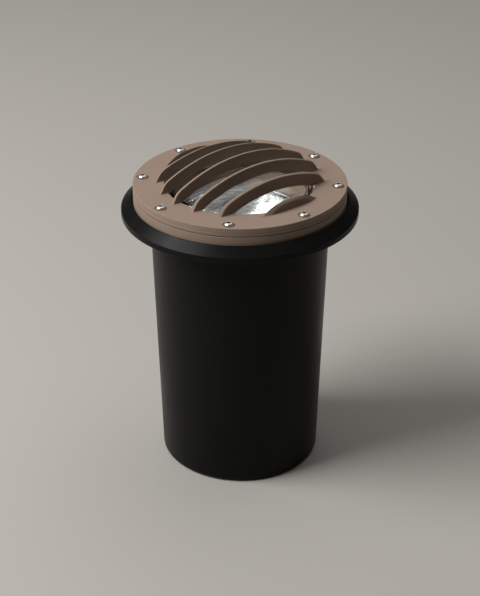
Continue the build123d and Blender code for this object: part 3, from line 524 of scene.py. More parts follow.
def mirror(name, colour):
    """Aluminium film on pressed glass, whose slow waves bend what it shows."""
    film = Finish(name, Metallic=1.0)
    wave = film.noise(5 * MM, roughness=0.45, stretch=(2.2, 1, 1), distortion=1.3)
    haze = film.noise(7 * MM, detail=3.0, roughness=0.6)
    film.feed("Base Color", film.mix(haze, shade(colour, 0.93), shade(colour, 1.03)))
    film.feed("Roughness", film.between(haze, 0.35, 0.7, 0.08, 0.32))
    return film.bump(wave, 0.15 * MM, strength=0.8).material


def glass(name, colour, roughness=0.0, ripple=0.0, size=20.0):
    """Glass that bends what shows through it and lets the lamps light what stands behind it. Pressed
    glass is rippled: ripple is the waves' height and size their width, in millimetres."""
    clear = Finish(name, Roughness=roughness, IOR=1.5, Transmission_Weight=1.0,
                   Base_Color=(*colour, 1.0))
    if ripple:
        clear.bump(clear.noise(size * MM, detail=1.0, roughness=0.4), ripple * MM)
    through = clear.node("ShaderNodeBsdfTransparent", inputs={"Color": (*shade(colour, 0.95), 1.0)})
    in_shadow = clear.node("ShaderNodeLightPath", output="Is Shadow Ray")
    both = clear.node("ShaderNodeMixShader", inputs={
        0: in_shadow, 1: Value(clear, clear.shader.outputs[0]), 2: through})
    clear.tree.links.new(both.socket, clear.tree.nodes["Material Output"].inputs["Surface"])
    return clear.material


def porcelain(name, colour):
    """Unglazed porcelain: faintly speckled and chalky."""
    clay = Finish(name, Specular_IOR_Level=0.4)
    fleck = clay.noise(0.5 * MM, detail=3.0, roughness=0.7)
    clay.feed("Base Color", clay.mix(clay.between(fleck, 0.55, 0.7), shade(colour), shade(colour, 0.8)))
    clay.feed("Roughness", clay.between(fleck, 0.3, 0.7, 0.45, 0.65))
    return clay.bump(fleck, 0.03 * MM, strength=0.5).material


# ------------------------------------------------------------------ properties

def length(name, description, millimetres):
    """Property for a size, whose default is given in millimetres."""
    return FloatProperty(name=name, description=description, default=millimetres * MM, min=0.0,
                         subtype="DISTANCE", unit="LENGTH", precision=5)


def slant(name, description, degrees):
    """Property for an angle, whose default is given in degrees."""
    return FloatProperty(name=name, description=description, default=float(np.radians(degrees)),
                         subtype="ANGLE", unit="ROTATION")


def number(name, description, count):
    """Property for a count."""
    return IntProperty(name=name, description=description, default=count, min=1)


def paint(name, description, *rgb):
    """Property for a colour, whose default is given as linear red, green and blue."""
    return FloatVectorProperty(name=name, description=description, default=rgb, size=3, min=0.0,
                               max=1.0, subtype="COLOR")


class SleeveSizes(bpy.types.PropertyGroup):
    """Moulded ground sleeve"""

    wall: length("Wall", "Thickness of the tapered wall", 3.0)
    floor: length("Floor", "Thickness of the bottom", 3.5)
    draft: slant("Draft", "Slope of the wall", 1.783)
    base_round: length("Base round", "Radius between the wall and the bottom", 4.2)
    ledge: length("Ledge", "Thickness of the ledge under the head", 4.5)
    ledge_width: length("Ledge width", "Inside of the wall to the lip round the head", 18.2)
    rim: length("Rim", "Height of the flange's outer edge", 5.5)
    rim_round: length("Rim round", "Radius along the flange's outer edges", 0.7)
    collar_width: length("Collar width", "Lip to the flange's outer edge", 9.2)
    collar_rise: length("Collar rise", "Outer edge to the top of the lip", 7.2)
    lip_flat: length("Lip flat", "Width of the top of the lip", 0.9)
    lip_round: length("Lip round", "Radius along the lip's edges", 0.35)
    ribs: number("Ribs", "Ribs under the collar", 24)
    rib: length("Rib", "Thickness of each rib", 2.0)
    skin: length("Skin", "Wall round the pockets between the ribs", 2.6)
    opening: length("Cable opening", "Radius of the opening in the bottom", 38.0)
    drains: number("Drain holes", "Holes that let water out", 6)
    drain: length("Drain", "Radius of each drain hole", 4.0)
    drain_circle: length("Drain circle", "Radius of the circle of drain holes", 51.0)
    drain_angle: slant("Drain angle", "Direction of the first drain hole, from +X", -49.0)


class HousingSizes(bpy.types.PropertyGroup):
    """Cast lamp housing"""

    flange: length("Flange", "Height of the flange from the ledge it rests on", 14.8)
    plate: length("Plate", "Thickness of the flange under the gasket", 5.5)
    skirt: length("Skirt", "Thickness of the flange's outer wall", 3.2)
    neck: length("Neck", "Wall round the glass", 4.1)
    seat: length("Seat", "Width of the ledge under the glass", 5.5)
    wall: length("Wall", "Thickness of the canister", 2.6)
    floor: length("Floor", "Thickness of the canister's floor", 3.5)
    base_round: length("Base round", "Radius between the canister's wall and floor", 6.0)
    clearance: length("Clearance", "Canister to the sleeve round it", 2.0)
    edge_round: length("Edge round", "Radius along the flange's edges", 0.5)
    neck_round: length("Neck round", "Radius between the plate and the walls under it", 1.0)
    cast_round: length("Cast round", "Radius where the canister widens to the neck", 1.5)
    throat_round: length("Throat round", "Radius inside the canister, at the foot of its throat", 2.0)
    boss: length("Boss", "Radius of each screw boss", 4.6)
    boss_gap: length("Boss gap", "End of each boss over the sleeve's ledge", 1.5)
    pivot_boss: length("Pivot boss", "Radius of the boss under the yoke", 7.5)
    pivot_height: length("Pivot boss height", "Height of the boss under the yoke", 7.0)
    pivot_bore: length("Pivot bore", "Radius of the tapped hole in that boss", 2.5)
    pivot_depth: length("Pivot depth", "Depth of that hole", 8.0)
    pivot_fillet: length("Pivot fillet", "Fillet round the foot of that boss", 1.5)
    hub: length("Hub", "Flat round that boss", 4.0)
    stop_width: length("Stop width", "Width of the lug that stops the yoke", 2.8)
    stop_depth: length("Stop depth", "Length of that lug", 3.0)
    stop_height: length("Stop height", "Height of that lug", 4.8)
    gasket_setback: length("Gasket setback", "Housing's edge to the gasket's edge", 0.3)
    gasket_fit: length("Gasket fit", "Glass gasket to its seat", 0.1)


class GrilleSizes(bpy.types.PropertyGroup):
    """Cast cover and its fins"""

    thickness: length("Thickness", "Thickness of the cover ring", 7.2)
    edge_round: length("Edge round", "Radius along the cover's upper edge", 0.5)
    small_round: length("Small round", "Radius along the cover's lower edges and counterbores", 0.35)
    parting: length("Parting line", "Top of the cover to the fine groove round its side", 4.6)
    parting_depth: length("Parting depth", "Depth of that groove", 0.3)
    opening_round: length("Opening round", "Radius along the opening's edge", 0.8)
    fins: number("Fins", "Number of fins", 7)
    direction: slant("Direction", "Direction of the fins, from +X", 38.8)
    spread: FloatProperty(
        name="Spread", default=1.02, min=0.1, max=1.1, subtype="FACTOR",
        description="Outermost fin's distance from the middle, as a share of the opening's radius")
    outer_shift: length("Outer shift", "Outermost fins' distance from their even spacing", 1.2)
    fin_top: length("Fin top", "Thickness at the top of the dome", 2.0)
    fin_base: length("Fin base", "Thickness at the cover", 2.6)
    fin_depth: length("Fin depth", "Upper edge to lower edge", 10.0)
    fin_round: length("Fin round", "Radius along the fins' upper edges", 0.6)
    edge_rise: length("Edge rise", "Height of the dome over the edge of the opening", 9.7)
    foot_lap: length("Foot lap", "Reach of the feet over the cover", 7.5)
    foot_slope: slant("Foot slope", "Slope of a fin's end", 60.0)
    foot_round: length("Foot round", "Radius between the dome and the end", 14.0)
    fillet: length("Fillet", "Cast fillet where a fin stands on the cover", 0.7)
    screws: number("Screws", "Number of cover screws", 8)
    screw_edge: length("Screw edge", "Screw to the cover's outer edge", 7.6)
    counterbore: length("Counterbore", "Radius of each counterbore", 5.3)
    counterbore_depth: length("Counterbore depth", "Depth of each counterbore", 0.9)
    screw_hole: length("Screw hole", "Radius of each screw hole", 2.25)


class ScrewSizes(bpy.types.PropertyGroup):
    """Pan-head cover screws"""

    head: length("Head", "Radius of the head", 4.1)
    height: length("Height", "Height of the head", 3.0)
    shoulder: length("Shoulder", "Height of the head's upright edge", 0.9)
    shank: length("Shank", "Radius of the thread", 2.0)
    pitch: length("Pitch", "Pitch of the thread", 0.7)
    tip: length("Tip", "Radius of the flat at the end of the thread", 1.4)
    socket: length("Socket", "Hexagon socket across flats", 3.0)
    turn: slant("Turn", "How far each screw is turned against the one before", 109.0)
    socket_depth: length("Socket depth", "Depth of the socket", 2.2)
    crown: length("Crown", "Bulge of the head between its edge and the socket", 0.5)
    bevel: length("Bevel", "Bevel at the head's foot and round the socket", 0.25)


class GlassSizes(bpy.types.PropertyGroup):
    """Domed glass and its gasket"""

    held: length("Held", "How far the cover reaches over the glass", 5.8)
    rim: length("Rim", "Thickness of the flat rim", 5.0)
    thickness: length("Thickness", "Thickness of the dome", 5.0)
    side: length("Side", "Thickness of the dome's side", 5.4)
    gap: length("Gap", "Dome to the edge of the cover's opening", 1.8)
    shoulder: length("Shoulder", "Radius between the dome and its side", 2.5)
    gasket_top: length("Gasket top", "Gasket over the glass", 0.8)
    gasket_round: length("Gasket round", "Radius along the gasket's edges", 0.3)
    headroom: length("Headroom", "Edge of the dome to the fins over it", 1.0)
    arris: length("Arris", "Radius along the ground edges", 0.6)


class LampSizes(bpy.types.PropertyGroup):
    """Sealed reflector lamp, its ring and its yoke"""

    rim: length("Rim", "Front glass and reflector lip together", 6.5)
    front: length("Front", "Thickness of the front glass", 3.0)
    bulge: length("Bulge", "How far the front glass stands out", 3.5)
    wall: length("Wall", "Thickness of the reflector", 2.2)
    back: length("Back", "Wall along the axis behind the bowl", 3.5)
    neck: length("Neck", "Radius of the neck behind the reflector", 14.0)
    petals: number("Petals", "Petals in each ring of the bowl", 28)
    rings: number("Rings", "Rings of petals", 5)
    flute: length("Flute", "Depth of each petal", 0.95)
    ripple: length("Ripple", "Depth of the ripples in the bowl", 0.22)
    ripple_size: length("Ripple size", "Width of those ripples", 11.0)
    capsule: length("Capsule", "Length of the capsule in the bowl", 24.0)
    capsule_wall: length("Capsule wall", "Thickness of the capsule", 0.8)
    capsule_round: length("Capsule round", "Radius at the capsule's end", 4.0)
    pinch: length("Pinch", "Solid foot of the capsule", 8.0)
    coil: length("Coil", "Radius of the filament's coil", 0.8)
    coils: number("Coils", "Turns of the filament", 11)
    coil_length: length("Coil length", "Length of the coil", 5.0)
    filament: length("Filament", "Radius of the filament's wire", 0.13)
    shield_wall: length("Shield wall", "Thickness of the cap over the capsule", 0.6)
    arris: length("Arris", "Radius along small edges", 0.4)
    ring_wall: length("Ring wall", "Thickness of the lamp ring", 1.2)
    ring_lip: length("Ring lip", "Reach of the ring over the lamp", 3.2)
    ring_gap: length("Ring gap", "Edge of the front glass's cap to that lip", 0.3)
    lug: length("Lug", "Radius of each bush on the ring", 4.5)
    pivot: length("Pivot", "Radius of the tilt screws", 2.0)
    pivot_gap: length("Pivot gap", "Bush to the screw in it", 0.06)
    wire: length("Wire", "Diameter of the spring ring", 1.8)
    lead: length("Lead", "Radius of the leads", 1.2)


class GlandSizes(bpy.types.PropertyGroup):
    """Cable gland"""

    cable: length("Cable", "Radius of the cable it grips", 4.0)
    seal: length("Seal", "Outer radius of the rubber seal", 6.2)
    lips: number("Lips", "Grooves inside the seal", 4)
    lip: length("Lip", "Depth of those grooves", 0.5)
    soft: length("Soft edge", "Radius along the rubber's edges", 0.4)
    bore: length("Bore", "Radius of the bore through body and nut", 5.0)
    neck: length("Neck", "Outer radius of the neck", 7.5)
    thread: length("Thread", "Radius of the thread in the housing", 8.0)
    pitch: length("Pitch", "Pitch of the threads", 1.5)
    hexagon: length("Hexagon", "Body across flats", 22.0)
    hexagon_height: length("Hexagon height", "Height of the body's hexagon", 6.5)
    nut: length("Nut", "Cap nut across flats", 21.0)
    chamfer: length("Chamfer", "Chamfer on the hexagons and threads", 0.8)


class Colours(bpy.types.PropertyGroup):
    """Finishes"""

    bronze: paint("Bronze coat", "Powder coat on the castings", 0.262, 0.190, 0.145)
    black: paint("Black moulding", "Plastic of the sleeve", 0.0055, 0.0055, 0.0052)
    rubber: paint("Rubber", "Gaskets and seals", 0.014, 0.014, 0.014)
    gasket: paint("Cover gasket", "Gasket between cover and housing", 0.050, 0.040, 0.033)
    steel: paint("Stainless steel", "Screws", 0.74, 0.73, 0.71)
    tungsten: paint("Tungsten", "Filament", 0.35, 0.34, 0.33)
    plated: paint("Plated steel", "Yoke and lamp ring", 0.56, 0.57, 0.58)
    brass: paint("Brass", "Terminals", 0.72, 0.50, 0.20)
    mirror: paint("Mirror", "Aluminium film in the reflector", 0.69, 0.69, 0.68)
    glass: paint("Glass", "Tint of the glass", 0.97, 0.985, 0.98)
    porcelain: paint("Porcelain", "Terminal block", 0.80, 0.78, 0.73)
    nylon: paint("White nylon", "Washers and one of the leads", 0.74, 0.73, 0.69)
    floor: paint("Floor", "Studio floor", 0.445, 0.425, 0.39)
    wall: paint("Wall", "Studio walls", 0.42, 0.40, 0.37)


# ------------------------------------------------------------------ operators

# Each finish by name: its recipe, its colour among the properties, and the recipe's settings.
FINISHES = {
    "bronze_powder_coat": (powder_coat, "bronze", {}),
    "black_moulding": (moulded, "black", {"roughness": 0.36, "texture": 0.03, "gloss": 0.1}),
    "black_nylon": (moulded, "black", {"roughness": 0.34, "texture": 0.02}),
    "black_insulation": (moulded, "black", {"roughness": 0.35}),
    "white_nylon": (moulded, "nylon", {"roughness": 0.4}),
    "seal_rubber": (rubber, "rubber", {}),
    "gasket_rubber": (rubber, "gasket", {}),
    "stainless_steel": (metal, "steel", {"roughness": 0.24}),
    # the screws' sockets get painted shade through this attribute
    "socket_screw": (metal, "steel", {"roughness": 0.34, "grime": SOCKET_SHADE}),
    "zinc_plated_steel": (metal, "plated", {"roughness": 0.34, "grain": 0.7}),
    "brass": (metal, "brass", {"roughness": 0.28}),
    "tungsten": (metal, "tungsten", {"roughness": 0.4}),
    "aluminised_glass": (mirror, "mirror", {}),
    "clear_glass": (glass, "glass", {}),
    "capsule_glass": (glass, "glass", {}),
    "lamp_glass": (glass, "glass", {"roughness": 0.2, "ripple": 0.55, "size": 6.5}),
    "porcelain": (porcelain, "porcelain", {}),
}


class Maker:
    """Gives an operator the sizes, the colours and the finishes."""

    bl_options = {"REGISTER", "UNDO"}

    def execute(self, context):
        """Reads the scene's properties and makes the operator's pieces."""
        for group in GROUPS:
            setattr(self, group, getattr(context.scene, "well_light_" + group))
        self.make()
        return {"FINISHED"}

    def finish(self, name):
        """The material of that name, made when it is first asked for. The frame has materials too, so
        these have a prefix."""
        recipe, colour, settings = FINISHES[name]
        name = "well_light_" + name
        return bpy.data.materials.get(name) or recipe(name, getattr(self.colours, colour), **settings)

    def screw_places(self):
        """Axis of each cover screw on the ground plane."""
        circle = high("grille_cover").x - self.grille.screw_edge
        a = angles(self.grille.screws, self.grille.direction)
        return circle * np.stack([np.cos(a), np.sin(a)], -1)

    def gland_at(self):
        """Axis of the gland on the ground plane."""
        centre = middle("gland_seal")
        return np.array([centre.x, centre.y])

    def holed_ring(self, surface, inner, outer, top, bottom, hole, divisions=192):
        """Adds the flat part of a ring, one sector round each screw hole, and returns the angles that
        the walls inside and outside it have to share."""
        per_screw = divisions // self.grille.screws
        around = angles(divisions, self.grille.direction - TURN / self.grille.screws / 2)
        for index, place in enumerate(self.screw_places()):
            sector = around[0] + (index * per_screw + np.arange(per_screw + 1)) * TURN / divisions
            surface.add(ring_sector(sector, inner, outer, top, bottom, place, hole))
        return around


class WELLLIGHT_OT_sleeve(Maker, bpy.types.Operator):
    """Moulded ground sleeve: tapered wall, collar with pockets under it and a drained bottom"""

    bl_idname = "well_light.sleeve"
    bl_label = "Ground sleeve"
    PER_RIB = 8              # directions of points for each rib

    def make(self):
        """The wall's radius falls by height times the tangent of its draft, from the bore under the head
        down to the foot, and the points' directions follow the two sides of each rib."""
        s = self.sleeve
        flange, lip_z = high("ground_sleeve").x, high("ground_sleeve").z
        seat_z = high("lamp_housing").z - self.housing.flange
        under_z = seat_z - s.ledge
        rim_z = under_z + s.rim
        lip = flange - s.collar_width
        bore = lip - s.ledge_width
        slope = np.tan(s.draft)
        bore_foot = bore - (seat_z - s.floor) * slope
        neck = bore + s.wall - s.ledge * slope
        foot = bore + s.wall - seat_z * slope
        edge = foot - BOTTOM_EDGE * s.base_round

        half_rib = s.rib / 2 / (lip + s.lip_flat)
        between = np.linspace(half_rib, TURN / s.ribs - half_rib, self.PER_RIB)[:-1]
        around = (angles(s.ribs)[:, None] + np.append(-half_rib, between)).reshape(-1)

        sleeve = Surface()
        wall = rounded([(edge, 0), (foot, 0), (neck, under_z)], {1: s.base_round}, steps=8)
        sleeve.add(lathe(wall, around))
        self.add_pockets(sleeve, around, neck, lip, flange, under_z, lip_z)
        sleeve.add(lathe(rounded(
            [(flange - 2 * s.rim_round, under_z), (flange, under_z), (flange, rim_z),
             (lip + s.lip_flat, lip_z), (lip, lip_z), (lip, seat_z), (bore, seat_z),
             (bore_foot, s.floor), (edge, s.floor)],
            {1: s.rim_round, 2: s.rim_round, 3: s.lip_round, 4: s.lip_round, 5: s.lip_round,
             6: s.rim_round, 7: s.base_round - s.wall / 2}), around))
        opening = self.hole(s.opening)
        self.add_floor(sleeve, around, opening[0, 0], edge)
        sleeve.add(lathe(opening, around))
        piece("sleeve_moulding", sleeve, "sleeve", "ground_sleeve", self.finish("black_moulding"))

    def add_pockets(self, sleeve, around, neck, lip, flange, under_z, lip_z):
        """Underside of the flange: flat, and raised between the ribs up to a roof that runs along the
        collar's slope. The directions of each rib's sides come twice, low and raised, and so do the
        radii of the walls."""
        s = self.sleeve
        inner, outer = lip + s.lip_flat, flange - s.skin
        roof = lip_z - s.skin - under_z
        fall = (outer - inner) * s.collar_rise / (s.collar_width - s.lip_flat)
        radii = np.array([neck, inner, inner, outer, outer, flange - 2 * s.rim_round])
        raised = np.array([0, 0, roof, roof - fall, 0, 0])
        ribs = around.reshape(s.ribs, -1)
        after = np.append(ribs[1:, 0], ribs[0, 0] + TURN)[:, None]
        twice = np.concatenate([ribs[:, :1], ribs[:, 1:2], ribs[:, 1:], after], 1)
        is_up = np.ones(twice.shape[1], bool)
        is_up[:2] = False
        grid = lathe(np.stack([radii, np.full(len(radii), under_z)], 1), twice.reshape(-1))
        grid[..., 2] += np.outer(np.tile(is_up, s.ribs), raised)
        sleeve.add(grid)

    def hole(self, radius):
        """Outline of a hole through the bottom, with a strip of both faces round it that is a third as
        wide as the bottom is thick."""
        s = self.sleeve
        outside = radius + s.floor / 3
        return rounded([(outside, s.floor), (radius, s.floor), (radius, 0), (outside, 0)],
                       {1: s.lip_round, 2: s.lip_round}, steps=3)

    def add_floor(self, sleeve, around, inner, outer):
        """Bottom with a drain hole in each of its sectors."""
        s = self.sleeve
        per_drain = len(around) // s.drains
        turns = np.concatenate([around - TURN, around, around + TURN])
        for a in angles(s.drains, s.drain_angle):
            first = np.searchsorted(turns, a - TURN / s.drains / 2)
            place = s.drain_circle * np.array([np.cos(a), np.sin(a)])
            sleeve.add(ring_sector(turns[first:first + per_drain + 1], inner, outer, s.floor, 0.0,
                                   place, self.hole(s.drain)))


class WELLLIGHT_OT_housing(Maker, bpy.types.Operator):
    """Cast lamp housing: canister, flange with its bosses, glass seat, and the gasket on top"""

    bl_idname = "well_light.housing"
    bl_label = "Lamp housing"
    SECTORS = 8              # sectors of the floor; the gland's hole is in the first
    PER_SECTOR = 24          # directions of points for each sector

    def make(self):
        """The outline runs up the outside, round the flange and the glass seat, and down the inside. The
        walls follow the sleeve's slope, and the cones between the canister and the neck or the mouth
        rise by as much as their radius changes."""
        h = self.housing
        radius = high("grille_cover").x
        base_z, top_z = heights_of("lamp_housing")
        seat_z = top_z - h.flange
        slope = np.tan(self.sleeve.draft)
        bore = high("ground_sleeve").x - self.sleeve.collar_width - self.sleeve.ledge_width
        outside_top = bore - h.clearance
        outside_foot = outside_top - (seat_z - base_z) * slope
        floor_z = base_z + h.floor
        inside_foot = outside_foot - h.wall + h.floor * slope
        seat = high("lens_gasket").x + h.gasket_fit
        mouth, neck = seat - h.seat, seat + h.neck
        glass_z = low("lens_gasket").z
        plate_z = top_z - h.plate
        throat_z = glass_z - (outside_top - h.wall - mouth)
        inside_throat = inside_foot + (throat_z - floor_z) * slope
        edge = outside_foot - BOTTOM_EDGE * h.base_round
        skirt = radius - h.skirt

        gland = self.gland_at()
        around = angles(self.SECTORS * self.PER_SECTOR,
                        np.arctan2(gland[1], gland[0]) - TURN / self.SECTORS / 2)
        casting = Surface()
        casting.add(lathe(rounded(
            [(edge, base_z), (outside_foot, base_z), (outside_top, seat_z),
             (neck, seat_z + neck - outside_top), (neck, plate_z), (skirt, plate_z), (skirt, seat_z),
             (radius, seat_z), (radius, top_z), (seat, top_z), (seat, glass_z), (mouth, glass_z),
             (mouth, glass_z - h.neck / 2), (inside_throat, throat_z - h.neck / 2),
             (inside_foot, floor_z), (edge, floor_z)],
            {1: h.base_round, 2: h.cast_round, 3: h.cast_round, 4: h.neck_round, 5: h.neck_round,
             6: h.edge_round, 7: h.edge_round, 8: h.edge_round, 9: h.edge_round, 11: h.edge_round,
             12: h.edge_round, 13: h.throat_round, 14: h.base_round - h.wall}), around))
        self.add_floor(casting, around, edge, floor_z, base_z)
        foot_z, head_z = seat_z + h.boss_gap, plate_z + h.plate / 2
        boss = rounded([(0, foot_z), (h.boss, foot_z), (h.boss, head_z), (0, head_z)],
                       {1: h.edge_round}, steps=4)
        for place in self.screw_places():
            casting.turn(boss, divisions=32, centre=place, ring=False)
        piece("housing_casting", casting, "head", "lamp_housing", self.finish("bronze_powder_coat"))
        self.add_gasket(seat, radius - h.gasket_setback, top_z, low("grille_cover").z)

    def add_floor(self, casting, around, edge, floor_z, base_z):
        """Floor of the canister: the sector with the gland's hole, the flat rest, and in the middle the
        boss and the stop lug of the yoke."""
        h = self.housing
        hub = h.pivot_boss + h.hub
        hole = [(self.gland.thread, floor_z), (self.gland.thread, base_z)]
        casting.add(ring_sector(around[:self.PER_SECTOR + 1], hub, edge, floor_z, base_z,
                                self.gland_at(), hole))
        rest = np.append(around[self.PER_SECTOR:], around[0] + TURN)
        casting.add(lathe([(edge, floor_z), (hub, floor_z)], rest), wrap_rows=False)
        casting.add(lathe([(hub, base_z), (edge, base_z)], rest), wrap_rows=False)
        boss_z = floor_z + h.pivot_height
        bore_foot = boss_z - h.pivot_depth
        casting.add(lathe(rounded(
            [(hub, floor_z), (h.pivot_boss, floor_z), (h.pivot_boss, boss_z), (h.pivot_bore, boss_z),
             (h.pivot_bore, bore_foot), (0, bore_foot)], {1: h.pivot_fillet, 2: h.edge_round}, steps=5),
            around))
        lug = Surface().bar(block((h.stop_width, h.stop_depth), floor_z - h.edge_round,
                                  floor_z + h.stop_height, h.edge_round, h.edge_round / 2))
        casting.copies(lug, [(0, h.pivot_boss + h.pivot_fillet + h.stop_depth / 2, 0)])
        casting.add(lathe([(0, base_z), (hub, base_z)], around))

    def add_gasket(self, inner, outer, low_z, high_z):
        """Flat gasket between the flange and the cover."""
        gasket, hole = Surface(), self.grille.screw_hole
        around = self.holed_ring(gasket, inner, outer, high_z, low_z, [(hole, high_z), (hole, low_z)])
        gasket.add(lathe([(outer, low_z), (outer, high_z)], around))
        gasket.add(lathe([(inner, high_z), (inner, low_z)], around))
        piece("cover_gasket", gasket, "head", "body_gasket", self.finish("gasket_rubber"))


class WELLLIGHT_OT_grille(Maker, bpy.types.Operator):
    """Cast cover ring with its screw seats and the arched fins over the glass"""

    bl_idname = "well_light.grille"
    bl_label = "Grille cover"
    DOME_POINTS = 80         # points along the dome's outline
    KNEE_POINTS = 12         # points along the arc between the dome and a fin's end
    TOE = 3 * MM             # run of the cover's face that guides the fillet
    TOE_SINK = 0.05 * MM     # how far the fillet's last point is sunk into the cover
    FOOT_SINK = 1.0 * MM     # how far the feet are sunk into the cover
    LONG_POINTS = 161        # cross sections along a fin
    EDGE_POINTS = 6          # points along each rounded edge
    FILLET_LEVELS = (0, 0.04, 0.16, 0.36, 0.64, 1.0, 1.3)    # heights of points, in fillet radii
    SETTLING = 4             # rounds in which a fin's crest and its thickness settle
    EDGE_SHARE = 1 / 3       # largest radius along a fin's edge, as a share of its height
    UNDER_EDGE = 0.5 * MM    # distance of a side's last point from the rounded edge

    def make(self):
        """Ring and fins. The fins' distances from the middle are evenly spaced up to spread times the
        opening's radius, and the two outermost stand a little further out."""
        g = self.grille
        self.base_z = low("grille_cover").z
        self.cover_z = self.base_z + g.thickness
        self.opening = high("lens_glass").x - self.glass.held
        casting = Surface()
        self.add_ring(casting)
        self.plan_dome(high("grille_cover").z)
        offsets = np.linspace(-1, 1, g.fins) * g.spread * self.opening
        offsets[[0, -1]] += np.array([-1, 1]) * g.outer_shift
        for offset in offsets:
            casting.bar(self.fin(offset))
        piece("grille_casting", casting, "head", "grille_cover", self.finish("bronze_powder_coat"))

    def add_ring(self, casting):
        """Cover ring: flat faces with the stepped screw holes, outer side and edge of the opening."""
        g, radius = self.grille, high("grille_cover").x
        inside, outside = self.opening + 2 * g.opening_round, radius - 2 * g.edge_round
        seat_z = self.cover_z - g.counterbore_depth
        small = g.small_round
        hole = rounded(
            [(g.counterbore + 2 * small, self.cover_z), (g.counterbore, self.cover_z),
             (g.counterbore, seat_z), (g.screw_hole, seat_z), (g.screw_hole, self.base_z),
             (g.screw_hole + small, self.base_z)], {1: small, 2: small / 2}, 4, FINE_GUARD)
        around = self.holed_ring(casting, inside, outside, self.cover_z, self.base_z, hole)
        line_z, cut = self.cover_z - g.parting, g.parting_depth
        casting.add(lathe(rounded(
            [(outside, self.base_z), (radius, self.base_z), (radius, line_z - cut),
             (radius - cut, line_z), (radius, line_z + cut), (radius, self.cover_z),
             (outside, self.cover_z)], {1: small, 5: g.edge_round}), around))
        casting.add(lathe(rounded(
            [(inside, self.cover_z), (self.opening, self.cover_z), (self.opening, self.base_z),
             (inside, self.base_z)], {1: g.opening_round, 2: small}), around))

    def plan_dome(self, apex_z):
        """Upper outline of all the fins as heights over radii: a dome of radius R over the opening, an
        arc of radius f, a straight end, and a small fillet down to the cover. The arc's centre is R - f
        from the dome's centre and f inside the straight end."""
        g = self.grille
        self.dome = ball_radius(self.opening, apex_z - self.cover_z - g.edge_rise)
        self.centre_z = apex_z - self.dome
        foot = np.array([self.opening + g.foot_lap, self.cover_z])
        out = np.array([np.sin(g.foot_slope), np.cos(g.foot_slope)])
        up = np.array([-out[1], out[0]])
        start = foot - g.foot_round * out - (0, self.centre_z)
        along = -start @ up + np.sqrt((start @ up) ** 2 - start @ start
                                      + (self.dome - g.foot_round) ** 2)
        centre = start + along * up
        lean = np.arctan2(centre[0], centre[1])
        dome = np.linspace(0, lean, self.DOME_POINTS)
        knee = np.linspace(lean, g.foot_slope, self.KNEE_POINTS)[1:]
        points = np.concatenate([
            self.dome * np.stack([np.sin(dome), np.cos(dome)], 1),
            centre + g.foot_round * np.stack([np.sin(knee), np.cos(knee)], 1)]) + (0, self.centre_z)
        toe = rounded([points[-1], foot, foot + (self.TOE, 0)], {1: g.fillet}, guard=0.0)[1:-1]
        toe[-1, 1] -= self.TOE_SINK
        self.outline = np.concatenate([points, toe])

    def top_at(self, radius):
        """Upper outline's height at a distance from the axis."""
        return np.interp(radius, *self.outline.T)

    def bottom_at(self, radius):
        """Lower edge: a dome set in by the fins' depth, and sunk into the cover beyond the opening."""
        inner = self.dome - self.grille.fin_depth
        arch = self.centre_z + np.sqrt(np.maximum(inner**2 - radius**2, 0))
        return np.where(radius < self.opening, np.maximum(arch, self.cover_z),
                        self.cover_z - self.FOOT_SINK)

    def half_at(self, height):
        """Half thickness: it falls evenly with height, and flares along the fillet on the cover."""
        g = self.grille
        rise = np.maximum(height - self.cover_z, 0)
        taper = (g.fin_base - g.fin_top) / 2 / (self.outline[0, 1] - self.cover_z)
        flare = g.fillet * (1 - np.sqrt(1 - (1 - np.minimum(rise / g.fillet, 1)) ** 2))
        return g.fin_base / 2 - rise * taper + flare

    def fin(self, offset):
        """One fin at that distance from the middle. Lengthwise the places are x = half length times
        sin a, so that they crowd towards the feet. Across it, a loop runs up one side, over the rounded
        edge, along the top, down the other side and back along the bottom."""
        g = self.grille
        along = np.sin(np.linspace(-np.pi / 2, np.pi / 2, self.LONG_POINTS))[:, None]
        turn = np.linspace(0, np.pi / 2, self.EDGE_POINTS)
        levels = self.cover_z + g.fillet * np.array(self.FILLET_LEVELS)
        foot = self.outline[-1, 0]

        def lengthwise(y):
            """Places along the fin, whose half length at y is the root of foot squared - y squared."""
            return along * np.sqrt(np.maximum(foot**2 - y**2, 0))

        def side(sign):
            """Points of one side from the bottom to the top. The crest's height depends on its place,
            and its place on the thickness at that height, so a few rounds bring them together."""
            crest = self.top_at(np.hypot(along * foot, offset))
            for _ in range(self.SETTLING):
                y = offset + sign * self.half_at(crest)
                x = lengthwise(y)
                crest = self.top_at(np.hypot(x, y))
            edge = np.clip((crest - self.cover_z) * self.EDGE_SHARE, 0, g.fin_round)
            shoulder = crest - edge
            under = np.minimum(self.bottom_at(np.hypot(x, y)), shoulder)
            steps = np.clip(levels, under, shoulder)
            last = np.maximum(steps[:, -1:], shoulder - self.UNDER_EDGE)
            heights = np.concatenate([under, steps, last, shoulder + edge * np.sin(turn)], 1)
            inset = np.concatenate([0 * under, 0 * steps, 0 * last, edge * (1 - np.cos(turn))], 1)
            y = offset + sign * (self.half_at(np.minimum(heights, shoulder)) - inset)
            x = lengthwise(y)
            lean = self.top_at(np.hypot(x, y)) - crest
            heights[:, -len(turn):] += lean[:, -len(turn):] * np.sin(turn)
            return np.stack([x, y, heights], -1)

        return turned_by(g.direction)(np.concatenate([side(-1), side(1)[:, ::-1]], 1))


